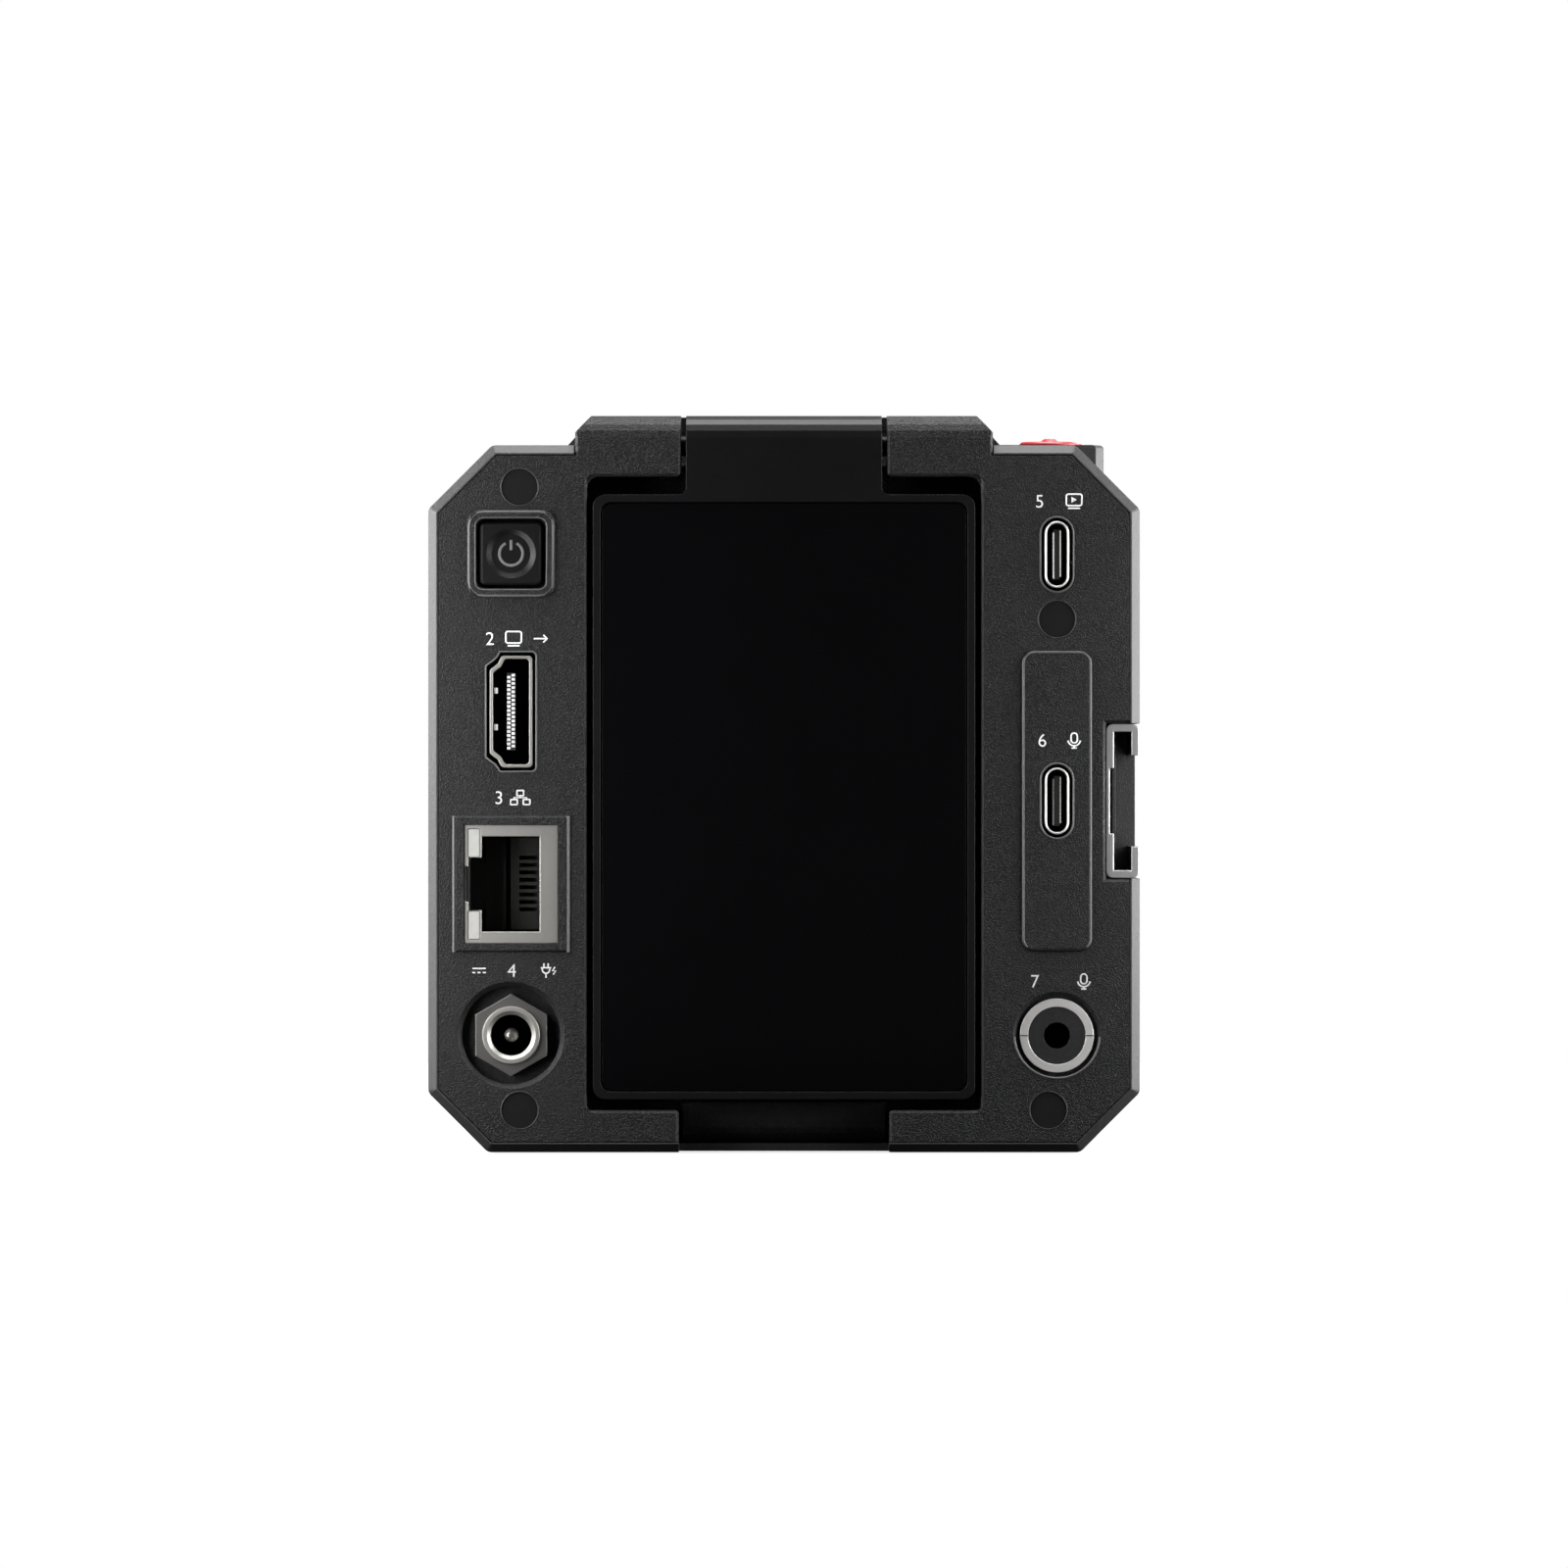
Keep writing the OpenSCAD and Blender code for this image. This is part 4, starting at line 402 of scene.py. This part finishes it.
# Columns: name, place, aim, width, height, watts. The two near lights graze the panel from its side edges.
LIGHTS = (
    ("left_side_light", (-0.24, -0.02, 0.12), (0, -0.02, 0.09), 0.22, 0.14, 1.5),
    ("right_side_light", (0.24, -0.02, 0.09), (0, -0.02, 0.09), 0.22, 0.18, 1.75),
    ("left_near_light", (-0.08, -0.075, 0.055), (-0.044, -0.041, 0.055), 0.03, 0.11, 0.092),
    ("right_near_light", (0.085, -0.08, 0.055), (0.046, -0.041, 0.055), 0.03, 0.11, 0.05),
    ("left_rear_light", (-0.75, -0.75, 0.3), MIDDLE, 0.5, 0.6, 0.7),
    ("right_rear_light", (0.75, -0.75, 0.3), MIDDLE, 0.5, 0.6, 0.7),
    ("top_light", (0, -0.02, 0.6), MIDDLE, 0.5, 0.36, 7.2),
    ("lens_side_light", (0.5, 1.1, 0.7), MIDDLE, 0.6, 0.6, 12.0),
)
for light in LIGHTS:
    softbox(*light)


# Places on the rear panel, in millimetres

PORT_X = 36.65
POWER_Z = 80.4
USB_Z = 80.3
HDMI_Z = 59.2
MIC_Z = 47.2
LAN_Z = 36.05
AUX_Z = 15.7
PAD_RISE = 0.3
PLUGS = ((-35.5, 89.35), (-35.5, 5.65), (35.5, 5.65), (PORT_X, 71.6))


def raised(rise):
    """The Y of a surface that stands a number of millimetres out of the panel's face."""
    return panel_y - rise * MM


# Making tools

def alone(piece):
    bpy.ops.object.select_all(action="DESELECT")
    piece.select_set(True)
    bpy.context.view_layer.objects.active = piece


def finished(piece, name, body, slot, finish=None):
    """Names a piece, settles its place into its mesh and hands it to its body and finish."""
    alone(piece)
    bpy.ops.object.transform_apply(location=True, rotation=True, scale=True)
    piece.name = name
    piece.data.name = name
    piece.data.materials.clear()
    piece.data.materials.append(finishes[finish or slot].material)
    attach(piece, body)
    return piece


def joined(pieces):
    bpy.ops.object.select_all(action="DESELECT")
    for piece in pieces:
        piece.select_set(True)
    bpy.context.view_layer.objects.active = pieces[0]
    bpy.ops.object.join()
    return pieces[0]


def drawn_lines(lines, spot, y, width, thickness=None):
    """Round lines: each a list of points in millimetres, closed where a pair (points, True) is given."""
    curve = bpy.data.curves.new("drawn_line", "CURVE")
    curve.dimensions = "3D"
    curve.bevel_depth = width / 2 * MM
    curve.bevel_resolution = 2
    curve.use_fill_caps = True
    for line in lines:
        points, closed = line if isinstance(line, tuple) else (line, False)
        spline = curve.splines.new("POLY")
        spline.points.add(len(points) - 1)
        spline.use_cyclic_u = closed
        for point, (x, z) in zip(spline.points, points):
            point.co = (x * MM, 0, z * MM, 1)
    piece = bpy.data.objects.new("drawn_line", curve)
    bpy.context.scene.collection.objects.link(piece)
    alone(piece)
    bpy.ops.object.convert(target="MESH")
    piece = bpy.context.object
    if thickness:
        piece.scale = (1, thickness / width, 1)
    piece.location = (spot[0] * MM, y, spot[1] * MM)
    bpy.ops.object.transform_apply(location=True, rotation=True, scale=True)
    return piece


def arc(centre, radius, start, end, steps=20):
    turns = [math.radians(start + (end - start) * k / steps) for k in range(steps + 1)]
    return [(centre[0] + radius * math.cos(turn), centre[1] + radius * math.sin(turn)) for turn in turns]


def frame_line(x0, z0, x1, z1, r=0.25):
    """A rectangle with rounded corners, as a closed line."""
    return (arc((x1 - r, z1 - r), r, 0, 90, 4) + arc((x0 + r, z1 - r), r, 90, 180, 4)
            + arc((x0 + r, z0 + r), r, 180, 270, 4) + arc((x1 - r, z0 + r), r, 270, 360, 4)[:-1])


# Printed marks

INK_LINE = 0.2
INK_RISE = 0.012
NUMBER_HEIGHT = 1.72
CAPITAL_SHARE = 0.69


def number(digits, left, spot, y):
    """A plain number whose left edge is given in millimetres from the spot."""
    bpy.ops.object.text_add(rotation=(math.radians(90), 0, 0))
    piece = bpy.context.object
    piece.data.body = digits
    piece.data.size = NUMBER_HEIGHT / CAPITAL_SHARE * MM
    piece.data.extrude = INK_RISE * MM
    piece.data.offset = -INK_RISE * MM
    bpy.ops.object.convert(target="MESH")
    piece = bpy.context.object
    piece.location = ((spot[0] + left) * MM, y, (spot[1] - NUMBER_HEIGHT / 2) * MM)
    bpy.ops.object.transform_apply(location=True, rotation=True, scale=True)
    return piece


monitor = [(frame_line(-1.05, -0.6, 1.05, 0.95, 0.3), True), [(-0.8, -0.95), (0.8, -0.95)]]
play = [([(-0.3, -0.12), (-0.3, 0.5), (0.25, 0.19)], True), [(-0.2, 0.05), (-0.2, 0.32), (0.05, 0.19)]]
capsule = [(arc((0, 0.55), 0.42, 0, 180, 10) + arc((0, 0.05), 0.42, 180, 360, 10), True)]
microphone = capsule + [arc((0, 0.1), 0.85, 190, 350, 16), [(0, -0.75), (0, -1.05)],
                        [(-0.35, -1.05), (0.35, -1.05)]]
plug_and_bolt = [[(-0.7, 0.35), (0.7, 0.35)],
                 [(-0.5, 0.35)] + arc((0, 0.1), 0.5, 180, 360, 10) + [(0.5, 0.35)],
                 [(-0.28, 0.4), (-0.28, 0.95)], [(0.28, 0.4), (0.28, 0.95)], [(0, -0.4), (0, -1.0)],
                 [(1.2, 0.45), (0.85, -0.05), (1.3, -0.05), (0.95, -0.55)]]
network = [(frame_line(-0.45, 0.25, 0.45, 0.95, 0.1), True),
           (frame_line(-1.3, -0.95, -0.4, -0.25, 0.1), True),
           (frame_line(0.4, -0.95, 1.3, -0.25, 0.1), True), [(0, 0.25), (0, 0.0)],
           [(-0.85, -0.25), (-0.85, 0.0), (0.85, 0.0), (0.85, -0.25)]]
arrow = [[(-0.9, 0), (0.9, 0)], [(0.4, 0.5), (0.9, 0), (0.4, -0.5)]]
direct_current = [[(-0.9, 0.25), (0.9, 0.25)], [(-0.9, -0.3), (-0.5, -0.3)], [(-0.2, -0.3), (0.2, -0.3)],
                  [(0.5, -0.3), (0.9, -0.3)]]

# Columns: name, spot, rise, drawings with their offsets, digit and its left edge, finish
LABELS = (
    ("video_mark", (-35.6, 69.0), 0, ((monitor, -0.7), (arrow, 2.9)), ("2", -4.5), "ink"),
    ("network_mark", (-36.6, 47.65), 0, ((network, 1.2),), ("3", -2.3), "low_ink"),
    ("power_mark", (-36.55, 24.45), 0, ((direct_current, -4.4), (plug_and_bolt, 4.6)), ("4", -0.6),
     "low_ink"),
    ("stream_mark", (36.3, 87.45), 0, ((monitor + play, 2.65),), ("5", -2.6), "ink"),
    ("microphone_mark", (PORT_X, 55.35), PAD_RISE, ((microphone, 2.3),), ("6", -2.6), "ink"),
    ("audio_mark", (PORT_X, 23.0), 0, ((microphone, 3.6),), ("7", -3.6), "low_ink"),
)
for name, spot, rise, drawings, (digit, left), ink in LABELS:
    pieces = [drawn_lines(lines, (spot[0] + offset, spot[1]), raised(rise), INK_LINE, 2 * INK_RISE)
              for lines, offset in drawings]
    pieces.append(number(digit, left, spot, raised(rise)))
    finished(joined(pieces), name, "camera_body", "light_pipe", ink)

KEY_MARK_R = 1.58
KEY_MARK_LINE = 0.36
DISH_DEPTH = 0.15
power_symbol = [arc((0, 0), KEY_MARK_R, 118, 422, 40), [(0, 0.5), (0, 1.85)]]
finished(drawn_lines(power_symbol, (-PORT_X, POWER_Z), raised(-DISH_DEPTH), KEY_MARK_LINE, 2 * INK_RISE),
         "power_key_mark", "power_key", "power_cap", "key_ink")

# Edges of openings and pads, beaded in a lighter finish as painted highlights


def stadium_line(w, h):
    r = w / 2
    return arc((0, h / 2 - r), r, 0, 180, 16) + arc((0, r - h / 2), r, 180, 360, 16)


def bead(name, lines, spot, y, width, slot="panel_black", finish="highlit_edge"):
    """A round edge along lines, half sunk in the face behind it, by default in the lighter edge finish as a
    painted highlight.
    """
    finished(drawn_lines(lines, spot, y, width), name, "camera_body", slot, finish)


def ring_bead(name, line, *where, **look):
    """A bead along one closed line."""
    bead(name, [(line, True)], *where, **look)


HDMI_SHELL = (5.7, 15)
HDMI_CORNER_R = 0.6
HDMI_MARGIN = 1.1


def hdmi_line(grow):
    """The outline of the video socket's shell, stood on end, with a margin round it."""
    w, h = HDMI_SHELL[0] + grow, HDMI_SHELL[1] + grow
    slope = [(-0.22 * w, h / 2), (-0.25 * w, 0.475 * h), (-0.31 * w, 0.44 * h), (-w / 2, 0.38 * h)]
    r = HDMI_CORNER_R
    upper = arc((w / 2 - r, h / 2 - r), r, 0, 90, 4) + slope
    return upper + [(x, -z) for x, z in reversed(upper)]


USB_OPENING = (4.4, 10.1)
USB_SHELL = (2.98, 8.68)
OPENING_LINE = 0.26
# Painted highlights: lit beads round the USB openings and the video socket.
for name, z, rise in (("upper_usb_edge", USB_Z, 0), ("lower_usb_edge", MIC_Z, PAD_RISE)):
    ring_bead(name, stadium_line(*USB_OPENING), (PORT_X, z), raised(rise), OPENING_LINE)
ring_bead("hdmi_edge", hdmi_line(HDMI_MARGIN), (-PORT_X, HDMI_Z), panel_y, OPENING_LINE)

PAD_CORNER_X = 3
PAD_CORNER_Z = 18.45
PAD_CORNER_R = 1.5


def pad_corner(side, end, *turn):
    return arc((side * PAD_CORNER_X, end * PAD_CORNER_Z), PAD_CORNER_R, *turn)


# Painted light on the microphone pad: a lit bead along its sides and top as painted highlight, and a near-black
# bead along its foot as painted shade.
pad_lit_sides_and_top = (pad_corner(-1, -1, 230, 180, 4) + pad_corner(-1, 1, 180, 90, 5) + pad_corner(1, 1, 90, 0, 5)
            + pad_corner(1, -1, 0, -50, 4))
pad_shaded_foot = pad_corner(-1, -1, 230, 270, 4) + pad_corner(1, -1, 270, 310, 4)
PAD_EDGE_RISE = 0.17
PAD_EDGE_LINE = 0.36
PAD_FOOT_DROP = 0.06
PAD_FOOT_RISE = 0.13
PAD_FOOT_LINE = 0.4
bead("microphone_pad_lit_edge", [pad_lit_sides_and_top], (PORT_X, MIC_Z), raised(PAD_EDGE_RISE), PAD_EDGE_LINE)
bead("microphone_pad_shaded_foot", [pad_shaded_foot], (PORT_X, MIC_Z - PAD_FOOT_DROP), raised(PAD_FOOT_RISE),
     PAD_FOOT_LINE, finish="soft_plug")

LIP_SINK = 0.02
LIP_LINE = 0.24
lip_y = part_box("usb_shells")[0].y + LIP_SINK * MM
# Partly painted highlight: a round bead on each USB shell's rim catches lamp light, and its plating is lighter
# than the shell's own.
for name, z in (("upper_usb_lip", USB_Z), ("lower_usb_lip", MIC_Z)):
    ring_bead(name, stadium_line(*USB_SHELL), (PORT_X, z), lip_y, LIP_LINE, slot="socket_metal",
              finish="ring_plating")

# Columns: name, half width of the square, corner radius, rise, thickness
# Painted highlights: lit beads on the power key bezel's outer and inner edges.
for name, half, r, rise, width in (("bezel_outer_edge", 5.6, 1.9, 0.26, 0.42),
                                   ("bezel_inner_edge", 4.85, 1.15, 0.4, 0.16)):
    ring_bead(name, frame_line(-half, -half, half, half, r), (-PORT_X, POWER_Z), raised(rise), width)

LAN_PAD_X = 7.68
LAN_PAD_Z = 9.15
LAN_PAD_RISE = 0.05
LAN_PAD_LINE = 0.42
WINDOW_X = -41.65
WINDOW_Z = 5.5
WINDOW_HALF_X = 0.78
WINDOW_HALF_Z = 1.9
WINDOW_CORNER_R = 0.1
WINDOW_LINE = 0.07
window_line = frame_line(-WINDOW_HALF_X, -WINDOW_HALF_Z, WINDOW_HALF_X, WINDOW_HALF_Z, WINDOW_CORNER_R)
# Painted highlight: lit beads along the network pad's left and right edges only.
bead("lan_pad_edge", [[(side * LAN_PAD_X, -LAN_PAD_Z), (side * LAN_PAD_X, LAN_PAD_Z)] for side in (-1, 1)],
     (-PORT_X, LAN_Z), raised(LAN_PAD_RISE), LAN_PAD_LINE)
for name, side in (("lan_window_edge", 1), ("lan_low_window_edge", -1)):
    ring_bead(name, window_line, (WINDOW_X, LAN_Z + side * WINDOW_Z), panel_y, WINDOW_LINE,
              finish="insert_black")

# Contacts and socket detail


def bar(x0, x1, d0, d1, z0, z1, edge=0.0):
    """A block between two corners in millimetres, whose depths count inwards from the panel's face."""
    bpy.ops.object.select_all(action="DESELECT")
    bpy.ops.mesh.primitive_cube_add(size=1, location=((x0 + x1) / 2 * MM, panel_y + (d0 + d1) / 2 * MM,
                                                      (z0 + z1) / 2 * MM))
    piece = bpy.context.object
    piece.scale = ((x1 - x0) * MM, (d1 - d0) * MM, (z1 - z0) * MM)
    bpy.ops.object.transform_apply(location=False, rotation=False, scale=True)
    if edge:
        bpy.ops.object.mode_set(mode="EDIT")
        bpy.ops.mesh.select_all(action="SELECT")
        bpy.ops.mesh.bevel(offset=edge * MM, segments=2, affect="EDGES")
        bpy.ops.object.mode_set(mode="OBJECT")
    return piece


CONTACT_LENGTH = 1.2
CONTACT_EDGE = 0.04
STAGGER_SHARE = 0.25


def contact_rows(name, spot, across, pitch, count, size, front, finish):
    """Two staggered rows of small plated contacts on a tongue."""
    pieces = []
    for side in (-1, 1):
        for k in range(count):
            x = spot[0] + side * across
            z = spot[1] + (k - (count - 1) / 2 + side * STAGGER_SHARE) * pitch
            pieces.append(bar(x - size[0] / 2, x + size[0] / 2, front, front + CONTACT_LENGTH,
                              z - size[1] / 2, z + size[1] / 2, CONTACT_EDGE))
    finished(joined(pieces), name, "camera_body", "contact_gold", finish)


# Columns: distance of a row from the middle, pitch, contacts in a row, their size, depth of their front
HDMI_ROWS = (0.3, 0.56, 18, (0.46, 0.36), 0.34)
USB_ROWS = (0.46, 0.52, 12, (0.2, 0.5), 0.45)
SPRING_SIDES = (-38.95, -38.45)
SPRING_DEPTHS = (0.5, 1.5)
SPRING_HALF = 0.4
SPRING_EDGE = 0.06
SPRING_MIDDLES = (57.1, 62.0)
contact_rows("hdmi_contact_rows", (-PORT_X, HDMI_Z), *HDMI_ROWS, "low_ink")
springs = [bar(*SPRING_SIDES, *SPRING_DEPTHS, z - SPRING_HALF, z + SPRING_HALF, SPRING_EDGE)
           for z in SPRING_MIDDLES]
finished(joined(springs), "hdmi_springs", "camera_body", "contact_gold", "tongue_plating")
for name, z in (("upper_usb_contacts", USB_Z), ("lower_usb_contacts", MIC_Z)):
    contact_rows(name, (PORT_X, z), *USB_ROWS, "tongue_plating")

# The network socket's floor: two strips, the latch's seat and a comb between the eight contacts
FLOOR_DEPTHS = (7, 8)
FLOOR_EDGE = 0.06
HALF_SLIT = 0.25
FIRST_STRIP_END = -37.5
SECOND_STRIP = (-36.9, -35.7)
COMB_START = -35.72
LATCH_SEAT_START = -42.3
LATCH_SEAT_Z = (32.5, 39.6)
left, right, low, high = -40.3, -32.95, 29.85, 42.25
slits = [LAN_Z + (k - 3.5) for k in range(8)]
ends = [low] + [z for slit in slits for z in (slit - HALF_SLIT, slit + HALF_SLIT)] + [high]
floor_spans = [(left, FIRST_STRIP_END, low, high), (*SECOND_STRIP, low, high),
               (LATCH_SEAT_START, left, *LATCH_SEAT_Z)]
floor_spans += [(COMB_START, right, z0, z1) for z0, z1 in zip(ends[::2], ends[1::2])]
floor_parts = [bar(x0, x1, *FLOOR_DEPTHS, z0, z1, FLOOR_EDGE) for x0, x1, z0, z1 in floor_spans]
finished(joined(floor_parts), "lan_comb", "camera_body", "insert_black", "socket_floor")

RING_MIDDLE_R = 4.4
CUT_REACH = 0.52
CUT_HALF = 0.07
CUT_DEPTHS = (0.12, 0.4)
ring_cuts = [bar(PORT_X + side * RING_MIDDLE_R - CUT_REACH, PORT_X + side * RING_MIDDLE_R + CUT_REACH,
                 *CUT_DEPTHS, AUX_Z - CUT_HALF, AUX_Z + CUT_HALF) for side in (-1, 1)]
finished(joined(ring_cuts), "audio_ring_split", "camera_body", "insert_black")


def hoop(x, y, z, radius, thick, steps=64):
    """A round wire ring about an axis along Y; x, z, radius and thickness in millimetres."""
    bpy.ops.object.select_all(action="DESELECT")
    bpy.ops.mesh.primitive_torus_add(location=(x * MM, y, z * MM), rotation=(math.radians(90), 0, 0),
                                     major_radius=radius * MM, minor_radius=thick * MM, major_segments=steps,
                                     minor_segments=8)
    return bpy.context.object


SEAM_SINK = 0.04
SEAM_R = 2.52
SEAM_THICK = 0.09
for k, (x, z) in enumerate(PLUGS):
    finished(hoop(x, raised(-SEAM_SINK), z, SEAM_R, SEAM_THICK), f"plug_seam_{k + 1}", "camera_body",
             "soft_plug", "insert_black")

RECESS_R = 5.72
RECESS_SINK = 0.02
RECESS_LINE = 0.3
# Painted highlight: a lit bead along the lower half of the audio recess's rim only.
bead("audio_recess_edge", [arc((0, 0), RECESS_R, 182, 358, 60)], (PORT_X, AUX_Z), raised(-RECESS_SINK),
     RECESS_LINE)

# Thread in the lens's mouth

MOUTH_R = 25.284
TUBE_R = 21
CONE_LENGTH = 6.5
THREAD_WIRE = 0.11
THREAD_STEPS = 128
THREAD_DEPTHS = (0.7, 1.15, 1.6, 2.05, 2.5)
ring_low, ring_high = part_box("lens_ring")
lens_z = (ring_low.z + ring_high.z) / 2 / MM
threads = [hoop(0, ring_high.y - t * MM, lens_z, MOUTH_R - (MOUTH_R - TUBE_R) * t / CONE_LENGTH,
                THREAD_WIRE, THREAD_STEPS) for t in THREAD_DEPTHS]
finished(joined(threads), "lens_thread", "camera_body", "ring_metal", "ring_dark")
